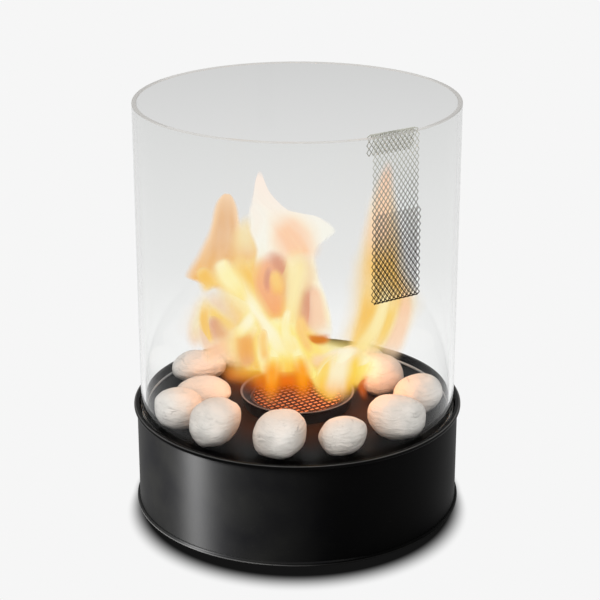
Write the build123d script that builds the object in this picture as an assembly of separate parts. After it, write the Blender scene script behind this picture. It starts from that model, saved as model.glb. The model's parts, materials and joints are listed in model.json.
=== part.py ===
"""Round table-top bioethanol fireplace.

A sheet-steel drum with double-seamed ends carries a drop-in burner, an open glass tube, an
expanded-metal scent basket hooked over the glass, and a ring of loose pebbles.
Millimetres. +Z is up, the origin is the centre of the circle it stands in, and the basket hangs
at the front, on -Y. Azimuths are in degrees from the front, positive towards +X.
"""

import os
from math import cos, hypot, pi, radians, sin, sqrt

from build123d import *

# Drum
SHEET = 0.8
FOOT_PROUD = 1.0
BASE_HEIGHT = 70.0
WALL_RADIUS = 107.7
LIP_RADIUS = 109.8
LIP_HEIGHT = 2.3
LIP_ROUND = 0.9
SEAM_RADIUS = 109.4
SEAM_HEIGHT = 2.7
DECK_DROP = 5.0
BOTTOM_RECESS = 3.0
FOOT_RADIUS, FOOT_CIRCLE, FOOT_COUNT = 8.0, 88.0, 4

# Glass
GLASS_RADIUS = 105.0
GLASS_WALL = 3.0
GLASS_LENGTH = 211.0

# Burner
RIM_RADIUS = 38.5
RIM_HEIGHT = 10.0
RIM_EDGE = 0.9
SKIRT_RADIUS = 35.3
CAN_RADIUS = 31.0
CAN_DEPTH = 45.0
FLANGE_WIDTH = 2.4
HOLE_GAP = 0.6
MOUTH_HEIGHT = 5.4
GRILLE_THICKNESS = 1.0
GRILLE_CELL = (10.4, 8.8)
GRILLE_STRAND = 1.8
GRILLE_GAP = 0.2
WADDING_GAP = 0.1
WADDING_SIDES = 16

# Scent basket
STRIP_WIDTH = 34.0
STRIP_SHEET = 0.8
HOOK_DROP = 12.0
HOOK_GAP = 0.5
ARCH_RISE = 1.4
LEG_GAP = 0.6
POCKET_DEPTH = 2.6
POCKET_HEIGHT = 58.0
STRIP_DROP = 103.0
STRIP_CELL = (8.5, 12.4)
STRIP_STRAND = 1.7
HOOK_BEND, FOLD_BEND = 3.1, 1.6

# Pebbles: azimuth, distance from the axis, length, width, height, turn of the length from +X
PEBBLES = (
    (-156.0, 80.5, 37.0, 30.0, 21.5, -30.0),
    (-126.0, 64.0, 36.0, 28.0, 20.0, -38.0),
    (-101.0, 82.5, 32.0, 32.0, 26.5, -20.0),
    (-75.0, 79.0, 33.5, 34.0, 31.5, -34.0),
    (-42.0, 78.0, 34.0, 32.0, 31.5, -34.0),
    (-12.5, 80.0, 30.0, 24.0, 24.5, -16.0),
    (19.5, 80.5, 38.0, 30.0, 29.0, -32.0),
    (50.0, 81.0, 33.0, 34.0, 25.0, -34.0),
    (74.0, 60.5, 31.0, 30.0, 30.0, -34.0),
    (176.0, 72.0, 38.0, 28.0, 23.0, -34.0),
    (110.0, 76.0, 34.0, 27.0, 18.0, -20.0),
    (141.0, 68.0, 30.0, 25.0, 16.0, -50.0),
)
# Share of the pebble's height, and of its plan, at each ring of its surface
PEBBLE_RINGS = ((0.0, 0.5), (0.15, 0.82), (0.45, 1.0), (0.78, 0.82), (1.0, 0.38))
PEBBLE_SIDES = 12
# Unevenness of a pebble's outline: waves round it, share of its size, and step from one pebble to the next
PEBBLE_LUMPS = ((2, 0.05, 1.9), (3, 0.04, 0.7))
PEBBLE_LEAN, PEBBLE_LEAN_STEP = 0.05, 2.4

# Heights that follow
SEAM_BOTTOM = FOOT_PROUD
LIP_TOP = SEAM_BOTTOM + BASE_HEIGHT
DECK_TOP = LIP_TOP - DECK_DROP
GLASS_TOP = DECK_TOP + GLASS_LENGTH
MOUTH = DECK_TOP + MOUTH_HEIGHT
UPSTAND_RADIUS = WALL_RADIUS - SHEET
DECK_RADIUS = UPSTAND_RADIUS - SHEET


def turned(points):
    """Revolves a closed outline of (radius, height) corners about Z."""
    return revolve(Plane.XZ * make_face(Polyline(*points, close=True)), Axis.Z)


def clipped(polygon, inside, crossing):
    """Keeps the part of a convex polygon on the inner side of one straight cut."""
    kept = []
    for this, after in zip(polygon, polygon[1:] + polygon[:1]):
        if inside(this):
            kept.append(this)
        if inside(this) != inside(after):
            kept.append(crossing(this, after))
    return kept


def clipped_to_window(polygon, half_width, low, high):
    """Clips a convex polygon to |x| <= half_width and low <= y <= high."""
    for axis, limit, sign in ((0, half_width, 1), (0, -half_width, -1), (1, high, 1), (1, low, -1)):

        def crossing(a, b, axis=axis, limit=limit):
            share = (limit - a[axis]) / (b[axis] - a[axis])
            return (a[0] + share * (b[0] - a[0]), a[1] + share * (b[1] - a[1]))

        polygon = clipped(polygon, lambda p: sign * (p[axis] - limit) <= 0, crossing)
    return polygon


def area(polygon):
    """Area of a polygon given as (x, y) corners."""
    turns = zip(polygon, polygon[1:] + polygon[:1])
    return abs(sum(a[0] * b[1] - b[0] * a[1] for a, b in turns)) / 2


def diamond(x, y, cell, strand):
    """Corners of one opening of expanded metal, centred on (x, y), between strands of a width."""
    half_wide, half_tall = cell[0] / 2, cell[1] / 2
    shrink = 1 - strand / 2 * hypot(half_wide, half_tall) / (half_wide * half_tall)
    wide, tall = half_wide * shrink, half_tall * shrink
    return [(x + wide, y), (x, y + tall), (x - wide, y), (x, y - tall)]


def lattice_centres(columns, rows, cell):
    """Centres of the openings: whole rows and, half a cell on, the rows between them."""
    left = -columns * cell[0] / 2
    for row in range(2 * rows + 1):
        for column in range(2 * columns + 1):
            if (row + column) % 2 == 0:
                yield left + column * cell[0] / 2, row * cell[1] / 2


def mesh_panel(width, length, cell, strand, thickness):
    """Flat expanded-metal panel: x across from the middle, y along from 0, its middle on z = 0."""
    columns = round(width / cell[0])
    rows = max(1, round(length / cell[1]))
    fitted = (width / columns, length / rows)
    holes = []
    for x, y in lattice_centres(columns, rows, fitted):
        hole = diamond(x, y, fitted, strand)
        hole = clipped_to_window(hole, width / 2 - strand / 2, strand / 2, length - strand / 2)
        if len(hole) > 2 and area(hole) > strand**2:
            holes.append(Wire.make_polygon(hole))
    half = width / 2
    outline = Wire.make_polygon([(half, 0), (half, length), (-half, length), (-half, 0)])
    return extrude(Face(outline, holes), amount=thickness / 2, both=True)


def base_wall():
    """Rolled drum wall, its ends inside the two seams."""
    low, high = SEAM_BOTTOM + SEAM_HEIGHT, LIP_TOP - LIP_HEIGHT
    inside = [(UPSTAND_RADIUS, high), (UPSTAND_RADIUS, low)]
    outside = [(WALL_RADIUS, low), (WALL_RADIUS, high)]
    return turned(inside + outside)


def deck_plate():
    """Upper end of the drum: burner hole, sunk deck, upstand and the pressed seam that is the lip."""
    hole = CAN_RADIUS + HOLE_GAP
    under = DECK_TOP - SHEET
    lip_under = LIP_TOP - LIP_HEIGHT
    outline = [
        (hole, under),
        (hole, DECK_TOP),
        (DECK_RADIUS, DECK_TOP),
        (DECK_RADIUS, LIP_TOP),
        (LIP_RADIUS - LIP_ROUND, LIP_TOP),
        (LIP_RADIUS, LIP_TOP - LIP_ROUND),
        (LIP_RADIUS, lip_under),
        (UPSTAND_RADIUS, lip_under),
        (UPSTAND_RADIUS, under),
    ]
    return turned(outline)


def base_bottom():
    """Lower end of the drum: a recessed disc, its upstand and its seam ring."""
    floor = SEAM_BOTTOM + BOTTOM_RECESS
    seam_top = SEAM_BOTTOM + SEAM_HEIGHT
    outline = [
        (0, floor),
        (DECK_RADIUS, floor),
        (DECK_RADIUS, SEAM_BOTTOM),
        (SEAM_RADIUS, SEAM_BOTTOM),
        (SEAM_RADIUS, seam_top),
        (UPSTAND_RADIUS, seam_top),
        (UPSTAND_RADIUS, floor + SHEET),
        (0, floor + SHEET),
    ]
    return turned(outline)


def feet():
    """Rubber pads glued under the recessed bottom."""
    pad = Cylinder(FOOT_RADIUS, SEAM_BOTTOM + BOTTOM_RECESS, align=(Align.CENTER, Align.CENTER, Align.MIN))
    pads = PolarLocations(FOOT_CIRCLE, FOOT_COUNT, start_angle=180 / FOOT_COUNT) * pad
    return Compound(children=[solid for placed in pads for solid in placed.solids()])


def glass_cylinder():
    """Open glass tube that stands on the deck."""
    inner = GLASS_RADIUS - GLASS_WALL
    bottom = [(inner, DECK_TOP), (GLASS_RADIUS, DECK_TOP)]
    top = [(GLASS_RADIUS, GLASS_TOP), (inner, GLASS_TOP)]
    return turned(bottom + top)


def burner_collar():
    """Dished trim ring: a lip on the can's flange, a slope to the rim, and a skirt to the deck."""
    inner = CAN_RADIUS + SHEET
    rim_top = DECK_TOP + RIM_HEIGHT
    outline = [
        (inner, MOUTH),
        (inner, MOUTH + SHEET),
        (RIM_RADIUS - RIM_EDGE, rim_top),
        (RIM_RADIUS, rim_top - RIM_EDGE / 2),
        (SKIRT_RADIUS, DECK_TOP),
        (SKIRT_RADIUS - SHEET, DECK_TOP),
        (RIM_RADIUS - RIM_EDGE - SHEET / 2, rim_top - 1.5 * SHEET),
        (CAN_RADIUS + FLANGE_WIDTH, MOUTH),
    ]
    return turned(outline)


def fuel_can():
    """Drawn can that hangs through the deck, its mouth turned out into a flange."""
    low = MOUTH - SHEET - CAN_DEPTH
    inner = CAN_RADIUS - SHEET
    flange = CAN_RADIUS + FLANGE_WIDTH
    outline = [
        (0, low),
        (CAN_RADIUS, low),
        (CAN_RADIUS, MOUTH - SHEET),
        (flange, MOUTH - SHEET),
        (flange, MOUTH),
        (inner, MOUTH),
        (inner, low + SHEET),
        (0, low + SHEET),
    ]
    return turned(outline)


def ceramic_fibre():
    """Wadding cut from a flat mat that fills the can and holds the fuel."""
    radius = CAN_RADIUS - SHEET - WADDING_GAP
    mat = RegularPolygon(radius, WADDING_SIDES)
    return Pos(Z=MOUTH - CAN_DEPTH) * extrude(mat, amount=CAN_DEPTH - WADDING_GAP)


def burner_grille():
    """Expanded-metal disc on the can's mouth, inside the collar's lip."""
    radius = CAN_RADIUS + SHEET - GRILLE_GAP
    columns, rows = (2 * int(radius / size) + 2 for size in GRILLE_CELL)
    holes = []
    for x, y in lattice_centres(columns, rows, GRILLE_CELL):
        hole = diamond(x, y - rows * GRILLE_CELL[1] / 2, GRILLE_CELL, GRILLE_STRAND)
        if max(hypot(*corner) for corner in hole) < radius - GRILLE_STRAND / 2:
            holes.append(Wire.make_polygon(hole))
    disc = Face(Wire.make_circle(radius), holes)
    return Pos(Z=MOUTH) * extrude(disc, amount=GRILLE_THICKNESS)


def scent_basket():
    """Strip of expanded metal: hook in the glass, arch over its rim, leg outside it, fold and pocket flap."""
    glass_inside = sqrt((GLASS_RADIUS - GLASS_WALL) ** 2 - (STRIP_WIDTH / 2) ** 2)
    hook = glass_inside - HOOK_GAP - STRIP_SHEET / 2
    leg = GLASS_RADIUS + LEG_GAP + STRIP_SHEET / 2
    flap = leg + STRIP_SHEET + POCKET_DEPTH
    top = GLASS_TOP + ARCH_RISE + STRIP_SHEET / 2
    fold = GLASS_TOP - STRIP_DROP + STRIP_SHEET / 2
    flap_top = fold - STRIP_SHEET / 2 + POCKET_HEIGHT
    path = FilletPolyline(
        (hook, GLASS_TOP - HOOK_DROP),
        (hook, top),
        (leg, top),
        (leg, fold),
        (flap, fold),
        (flap, flap_top),
        radius=[HOOK_BEND, HOOK_BEND, FOLD_BEND, FOLD_BEND],
    )
    side = Plane(origin=(0, 0, 0), x_dir=(0, -1, 0), z_dir=(-1, 0, 0))
    pieces = []
    for edge in path.edges():
        if edge.geom_type == GeomType.LINE and edge.length > STRIP_CELL[0]:
            panel = mesh_panel(STRIP_WIDTH, edge.length, STRIP_CELL, STRIP_STRAND, STRIP_SHEET)
            run = side * edge
            normal = Vector(1, 0, 0).cross(run % 0)
            pieces.append(Plane(origin=run @ 0, x_dir=(1, 0, 0), z_dir=normal) * panel)
        else:
            band = side * trace(edge, STRIP_SHEET)
            pieces.append(extrude(band, amount=STRIP_WIDTH / 2, both=True))
    return Part() + pieces


def stacked(rings):
    """Closed solid through rings of as many corners each, with flat sides between them."""
    faces = [Face(Wire.make_polygon(rings[0])), Face(Wire.make_polygon(rings[-1]))]
    for low, high in zip(rings, rings[1:]):
        for corner in range(len(low)):
            before = corner - 1
            side = [low[before], low[corner], high[corner], high[before]]
            faces.append(Face(Wire.make_polygon(side)))
    return Solid(Shell(faces))


def pebble(number, length, width, height):
    """Lumpy pebble that lies on a small flat of its own, built up in rings of one outline."""
    outline = []
    for side in range(PEBBLE_SIDES):
        angle = 2 * pi * side / PEBBLE_SIDES
        lump = 1 + sum(share * cos(waves * angle + step * number) for waves, share, step in PEBBLE_LUMPS)
        outline.append((length / 2 * lump * cos(angle), width / 2 * lump * sin(angle)))
    lean_x = PEBBLE_LEAN * length * cos(PEBBLE_LEAN_STEP * number)
    lean_y = PEBBLE_LEAN * width * sin(PEBBLE_LEAN_STEP * number)
    rings = []
    for share, size in PEBBLE_RINGS:
        shift_x, shift_y = lean_x * share, lean_y * share
        rings.append([(x * size + shift_x, y * size + shift_y, height * share) for x, y in outline])
    return stacked(rings)


def placed_pebble(number, azimuth, distance, length, width, height, turn):
    """Pebble of a number on the deck."""
    x, y = distance * sin(radians(azimuth)), -distance * cos(radians(azimuth))
    return Pos(x, y, DECK_TOP) * Rot(Z=turn) * pebble(number, length, width, height)


def main():
    """Writes one STEP file for each sub-part."""
    nodes = {
        "base_wall": base_wall(),
        "base_bottom": base_bottom(),
        "deck_plate": deck_plate(),
        "feet": feet(),
        "glass_cylinder": glass_cylinder(),
        "burner_collar": burner_collar(),
        "fuel_can": fuel_can(),
        "ceramic_fibre": ceramic_fibre(),
        "burner_grille": burner_grille(),
        "scent_basket": scent_basket(),
    }
    for number, row in enumerate(PEBBLES, start=1):
        nodes[f"pebble_{number:02d}"] = placed_pebble(number, *row)
    os.makedirs("parts", exist_ok=True)
    for name, shape in nodes.items():
        export_step(shape, f"parts/{name}.step")


main()
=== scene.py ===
"""Looks of a round table-top bioethanol fireplace, alight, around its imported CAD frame.

The pieces are in metres in the frame's own axes: +Z up, the scent basket at the front on -Y. Sizes in the
classes are in millimetres, as a maker's drawing has them, and `MM` turns them into metres. Azimuths are in
degrees from the front, positive towards +X.
"""

from __future__ import annotations

import json
import logging
import math
import random
from collections.abc import Callable, Iterable, Sequence
from dataclasses import dataclass, field
from enum import Enum
from typing import Any, Optional, Union

import bpy
from mathutils import Euler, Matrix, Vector, noise

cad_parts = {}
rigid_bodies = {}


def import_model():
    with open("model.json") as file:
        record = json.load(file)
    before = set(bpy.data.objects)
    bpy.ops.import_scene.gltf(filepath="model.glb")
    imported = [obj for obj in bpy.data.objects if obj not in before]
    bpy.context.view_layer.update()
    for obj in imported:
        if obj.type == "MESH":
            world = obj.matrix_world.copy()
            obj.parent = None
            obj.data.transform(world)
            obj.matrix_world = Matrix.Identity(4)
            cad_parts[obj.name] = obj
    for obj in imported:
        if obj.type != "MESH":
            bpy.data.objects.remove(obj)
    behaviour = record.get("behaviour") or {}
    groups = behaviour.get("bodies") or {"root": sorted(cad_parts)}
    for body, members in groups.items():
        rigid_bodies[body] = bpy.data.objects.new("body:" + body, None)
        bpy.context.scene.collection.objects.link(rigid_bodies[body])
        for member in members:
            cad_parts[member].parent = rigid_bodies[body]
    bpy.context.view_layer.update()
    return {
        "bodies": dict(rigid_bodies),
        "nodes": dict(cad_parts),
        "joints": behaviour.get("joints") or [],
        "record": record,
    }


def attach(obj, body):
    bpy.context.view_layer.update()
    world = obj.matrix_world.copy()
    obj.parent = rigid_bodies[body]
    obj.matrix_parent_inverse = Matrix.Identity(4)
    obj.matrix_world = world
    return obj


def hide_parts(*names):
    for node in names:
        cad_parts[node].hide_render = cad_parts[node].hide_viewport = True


LOG = logging.getLogger("fireplace")
MM = 0.001
# Share of a rounding's size at which a ring beside it holds its shading off the flat
HOLD = 0.15
# Steps from the middle of an opening of expanded metal to its four corners
AROUND = ((1, 0), (0, 1), (-1, 0), (0, -1))
Colour = tuple[float, float, float]
ScreenColour = tuple[int, int, int]
Point = tuple[float, float]
Rungs = Sequence[tuple[Point, Point]]
Line = tuple[float, float, float]


def shown(red: int, green: int, blue: int) -> Colour:
    """Colour that a screen shows with these values from 0 to 255."""
    parts = [part / 255 for part in (red, green, blue)]
    return tuple(part / 12.92 if part <= 0.04045 else ((part + 0.055) / 1.055) ** 2.4 for part in parts)


def dimmed(colour: Colour, share: float) -> Colour:
    """Colour with each part multiplied by a share."""
    return tuple(part * share for part in colour)


# Shader maths


def operator(operation: str, swapped: bool = False) -> "Callable[[Value, Term], Value]":
    """Makes the method of one of Python's operators.

    Args:
        operation: Blender's name of the operation.
        swapped: Whether the method is for a number on the value's left.

    Returns:
        The method, which adds the operation's Math node.
    """

    def method(value: "Value", other: "Term") -> "Value":
        """Joins a value and another term."""
        return value.math(operation, other, value) if swapped else value.math(operation, value, other)

    return method


class Value:
    """Socket of a node tree with Python's own operators, each of which adds its Math node."""

    __add__, __radd__ = operator("ADD"), operator("ADD", swapped=True)
    __sub__, __rsub__ = operator("SUBTRACT"), operator("SUBTRACT", swapped=True)
    __mul__, __rmul__ = operator("MULTIPLY"), operator("MULTIPLY", swapped=True)
    __truediv__, __pow__ = operator("DIVIDE"), operator("POWER")

    def __init__(self, paint: "Paint", socket: bpy.types.NodeSocket) -> None:
        """Wraps a socket.

        Args:
            paint: Material that the socket's node is in.
            socket: Output socket that carries the value.
        """
        self.paint = paint
        self.socket = socket

    def math(self, operation: str, first: "Term", second: "Term" = 0.0) -> "Value":
        """Adds a Math node.

        Args:
            operation: Blender's name of the operation.
            first: First term.
            second: Second term, where the operation has one.

        Returns:
            The node's result.
        """
        node = self.paint.node("ShaderNodeMath", {"operation": operation}, {0: first, 1: second})
        return Value(self.paint, node.outputs[0])

    def __abs__(self) -> "Value":
        """Size without sign."""
        return self.math("ABSOLUTE", self)

    def most(self, other: "Term") -> "Value":
        """Larger of this and another value."""
        return self.math("MAXIMUM", self, other)

    def least(self, other: "Term") -> "Value":
        """Smaller of this and another value."""
        return self.math("MINIMUM", self, other)

    def root(self) -> "Value":
        """Square root."""
        return self.math("SQRT", self)

    def rise(self, low: "Term", high: "Term", start: float = 0.0, end: float = 1.0) -> "Value":
        """Smooth step.

        Args:
            low: Value at which the step starts.
            high: Value at which the step ends.
            start: Result below the step.
            end: Result above the step.

        Returns:
            The value on the step.
        """
        inputs = {0: self, 1: low, 2: high, 3: start, 4: end}
        node = self.paint.node("ShaderNodeMapRange", {"interpolation_type": "SMOOTHSTEP"}, inputs)
        return Value(self.paint, node.outputs[0])


Term = Union[Value, float]
Tint = Union[Value, Colour]


class Paint:
    """Node tree of one material, or of the world, with one method that adds any node."""

    def __init__(self, name: str, owner: Optional[Any] = None) -> None:
        """Starts an empty tree.

        Args:
            name: Name of the material.
            owner: Data block whose tree is used instead of a new material's.
        """
        self.owner = owner or bpy.data.materials.new(name)
        self.owner.use_nodes = True
        self.tree = self.owner.node_tree
        self.tree.nodes.clear()

    def node(
        self, kind: str, settings: Optional[dict[str, Any]] = None, inputs: Optional[dict[Any, Any]] = None
    ) -> bpy.types.Node:
        """Adds a node.

        Args:
            kind: Blender's name of the node's type.
            settings: Properties that are set first. `stops` fills a ramp with (place, colour) pairs.
            inputs: Value or link of each named or numbered socket.

        Returns:
            The new node.
        """
        node = self.tree.nodes.new(kind)
        for name, setting in (settings or {}).items():
            if name == "stops":
                self._fill(node.color_ramp, setting)
            else:
                setattr(node, name, setting)
        for key, given in (inputs or {}).items():
            socket = node.inputs[key]
            if isinstance(given, Value):
                self.tree.links.new(given.socket, socket)
            elif socket.type == "RGBA":
                socket.default_value = (*given[:3], 1.0)
            else:
                socket.default_value = given
        return node

    @staticmethod
    def _fill(ramp: bpy.types.ColorRamp, stops: Sequence[tuple[float, Colour]]) -> None:
        """Gives a ramp its stops.

        Args:
            ramp: Ramp with its first two stops.
            stops: Place and colour of each stop, in rising order.
        """
        while len(ramp.elements) < len(stops):
            ramp.elements.new(1.0)
        for element, (place, colour) in zip(ramp.elements, stops):
            element.position = place
            element.color = (*colour, 1.0)

    def out(self, node: bpy.types.Node, key: Union[int, str] = 0) -> Value:
        """Wraps one of a node's outputs."""
        return Value(self, node.outputs[key])

    def place(self) -> Value:
        """Position on the piece, in metres, as the frame has it at rest."""
        return self.out(self.node("ShaderNodeTexCoord"), "Object")

    def part(self, vector: Value, axis: str) -> Value:
        """One of a vector's parts, named X, Y or Z."""
        return self.out(self.node("ShaderNodeSeparateXYZ", inputs={0: vector}), axis)

    def radius(self) -> Value:
        """Distance from the object's upright axis.

        Returns:
            The distance, in metres.
        """
        place = self.place()
        across, along = self.part(place, "X"), self.part(place, "Y")
        return (across * across + along * along).root()

    def stretched(self, vector: Value, scale: tuple[float, float, float]) -> Value:
        """Vector with each part multiplied by its own factor."""
        node = self.node("ShaderNodeVectorMath", {"operation": "MULTIPLY"}, {0: vector, 1: scale})
        return self.out(node)

    def shifted(self, vector: Value, push: Value, amount: float) -> Value:
        """Vector moved by another vector's parts.

        Args:
            vector: The vector.
            push: Colour or vector that moves it.
            amount: Number that the push is multiplied by.

        Returns:
            The moved vector.
        """
        scaled = self.node("ShaderNodeVectorMath", {"operation": "SCALE"}, {0: push, "Scale": amount})
        node = self.node("ShaderNodeVectorMath", {"operation": "ADD"}, {0: vector, 1: self.out(scaled)})
        return self.out(node)

    def grain(self, size: float, detail: float = 3.0, vector: Optional[Value] = None) -> Value:
        """Noise of a grain size, from 0 to 1.

        Args:
            size: Distance between lumps, in the vector's own unit.
            detail: Number of finer layers.
            vector: Where the noise is read, the position if not given.

        Returns:
            The noise.
        """
        inputs = {"Vector": vector or self.place(), "Scale": 1 / size, "Detail": detail}
        return self.out(self.node("ShaderNodeTexNoise", inputs=inputs), 0)

    def swirl(self, size: float) -> Value:
        """Noise of a grain size as a vector."""
        inputs = {"Vector": self.place(), "Scale": 1 / size, "Detail": 2.0}
        return self.out(self.node("ShaderNodeTexNoise", inputs=inputs), 1)

    def cracks(self, size: float, vector: Value) -> Value:
        """Distance to the nearest border between cells of a size, in cell sizes."""
        inputs = {"Vector": vector, "Scale": 1 / size}
        return self.out(self.node("ShaderNodeTexVoronoi", {"feature": "DISTANCE_TO_EDGE"}, inputs), 0)

    def mix(self, share: Term, first: Tint, second: Tint) -> Value:
        """Colour between two colours.

        Args:
            share: Share of the second colour.
            first: Colour at 0.
            second: Colour at 1.

        Returns:
            The mixed colour.
        """
        node = self.node("ShaderNodeMix", {"data_type": "RGBA"}, {0: share, 6: first, 7: second})
        return Value(self, node.outputs[2])

    def ramp(self, share: Value, *stops: tuple[float, Colour]) -> Value:
        """Colour of a value between stops."""
        return self.out(self.node("ShaderNodeValToRGB", {"stops": stops}, {0: share}))

    def bump(self, height: Value, depth: float, strength: float = 1.0) -> Value:
        """Normal of a height from 0 to 1 that stands for a depth in metres."""
        inputs = {"Strength": strength, "Distance": depth, "Height": height}
        return self.out(self.node("ShaderNodeBump", inputs=inputs))

    def solid(self, **inputs: Any) -> Value:
        """Principled shader with sockets named by their words joined with underscores."""
        named = {key.replace("_", " "): given for key, given in inputs.items()}
        return self.out(self.node("ShaderNodeBsdfPrincipled", inputs=named))

    def either(self, share: Value, first: Value, second: Value) -> Value:
        """Shader between two shaders."""
        return self.out(self.node("ShaderNodeMixShader", inputs={0: share, 1: first, 2: second}))

    def seen(self) -> Value:
        """Tells the rays that show the surroundings from those that light the object.

        Returns:
            1 for a ray to the camera, in a mirror or through glass, else 0.
        """
        rays = self.node("ShaderNodeLightPath")
        straight = self.out(rays, "Is Camera Ray").most(self.out(rays, "Is Glossy Ray"))
        return straight.most(self.out(rays, "Is Transmission Ray"))

    def done(self, shader: Value, kind: str = "ShaderNodeOutputMaterial") -> Any:
        """Ends the tree in a shader.

        Args:
            shader: Shader that the surface gets.
            kind: Type of the output node.

        Returns:
            The material, or the owner of the tree.
        """
        self.node(kind, inputs={"Surface": shader})
        return self.owner


# Meshes


def mesh_object(
    name: str, vertices: Iterable[Sequence[float]], faces: Iterable[Sequence[int]], smooth: bool = True
) -> bpy.types.Object:
    """Makes an object from corners in millimetres.

    Args:
        name: Name of the piece.
        vertices: Corners, in millimetres.
        faces: Corner numbers of each face.
        smooth: Whether the faces are shaded smooth.

    Returns:
        The object, linked to the scene.
    """
    mesh = bpy.data.meshes.new(name)
    mesh.from_pydata([[part * MM for part in corner] for corner in vertices], [], [list(face) for face in faces])
    mesh.polygons.foreach_set("use_smooth", [smooth] * len(mesh.polygons))
    mesh.update()
    made = bpy.data.objects.new(name, mesh)
    bpy.context.scene.collection.objects.link(made)
    return made


def applied(piece: bpy.types.Object) -> bpy.types.Object:
    """Replaces a piece's mesh by what its modifiers make of it, and takes the modifiers off.

    Args:
        piece: Piece with modifiers.

    Returns:
        The piece without them.
    """
    graph = bpy.context.evaluated_depsgraph_get()
    mesh = bpy.data.meshes.new_from_object(piece.evaluated_get(graph))
    piece.modifiers.clear()
    piece.data = mesh
    return piece


def rounded(outline: Sequence[Point], radii: dict[int, float], steps: int = 5) -> list[Point]:
    """Rounds corners of a closed outline.

    Args:
        outline: Corners as (radius, height).
        radii: Length cut off each side of the corners that are rounded, by corner number.
        steps: Points on each rounding.

    Returns:
        The outline with its roundings.
    """
    made: list[Point] = []
    for number, corner in enumerate(outline):
        if number not in radii:
            made.append(corner)
            continue
        here = Vector(corner)
        cut = radii[number]
        back = (Vector(outline[number - 1]) - here).normalized()
        onward = (Vector(outline[(number + 1) % len(outline)]) - here).normalized()
        start, end = here + back * cut, here + onward * cut
        made.append(tuple(start + back * cut * HOLD))
        for step in range(steps + 1):
            share = step / steps
            made.append(tuple(start.lerp(here, share).lerp(here.lerp(end, share), share)))
        made.append(tuple(end + onward * cut * HOLD))
    return made


def lathed(name: str, outline: Sequence[Point], steps: int = 224) -> bpy.types.Object:
    """Turns a closed outline about the upright axis.

    Args:
        name: Name of the piece.
        outline: Corners as (radius, height) in millimetres. Those on the axis become one point.
        steps: Number of flats round the axis.

    Returns:
        The turned piece.
    """
    turns = zip(outline, [*outline[1:], outline[0]])
    if sum(here[0] * after[1] - here[1] * after[0] for here, after in turns) < 0:
        outline = outline[::-1]
    vertices: list[Sequence[float]] = []
    rows: list[list[int]] = []
    for radius, height in outline:
        first = len(vertices)
        if radius <= 0:
            vertices.append((0.0, 0.0, height))
            rows.append([first] * steps)
            continue
        for step in range(steps):
            turn = math.tau * step / steps
            vertices.append((radius * math.cos(turn), radius * math.sin(turn), height))
        rows.append(list(range(first, first + steps)))
    faces = []
    for low, high in zip(rows, rows[1:] + rows[:1]):
        for step in range(steps):
            after = (step + 1) % steps
            corners = dict.fromkeys((low[step], low[after], high[after], high[step]))
            if len(corners) > 2:
                faces.append(list(corners))
    return mesh_object(name, vertices, faces)


def wired(piece: bpy.types.Object, strand: float) -> bpy.types.Object:
    """Turns a mesh of openings into the strands round them.

    Args:
        piece: Mesh whose faces are the openings.
        strand: Width of a strand, in millimetres.

    Returns:
        The piece, as strands.
    """
    wire = piece.modifiers.new("strands", "WIREFRAME")
    wire.thickness = strand * MM
    wire.use_even_offset = False
    wire.use_boundary = True
    return applied(piece)


def soften_edges(piece: bpy.types.Object, degrees: float = 32.0) -> bpy.types.Object:
    """Shades a piece smooth, with its edges sharper than an angle kept."""
    piece.data.set_sharp_from_angle(angle=math.radians(degrees))
    return piece


# The photograph's view


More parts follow.
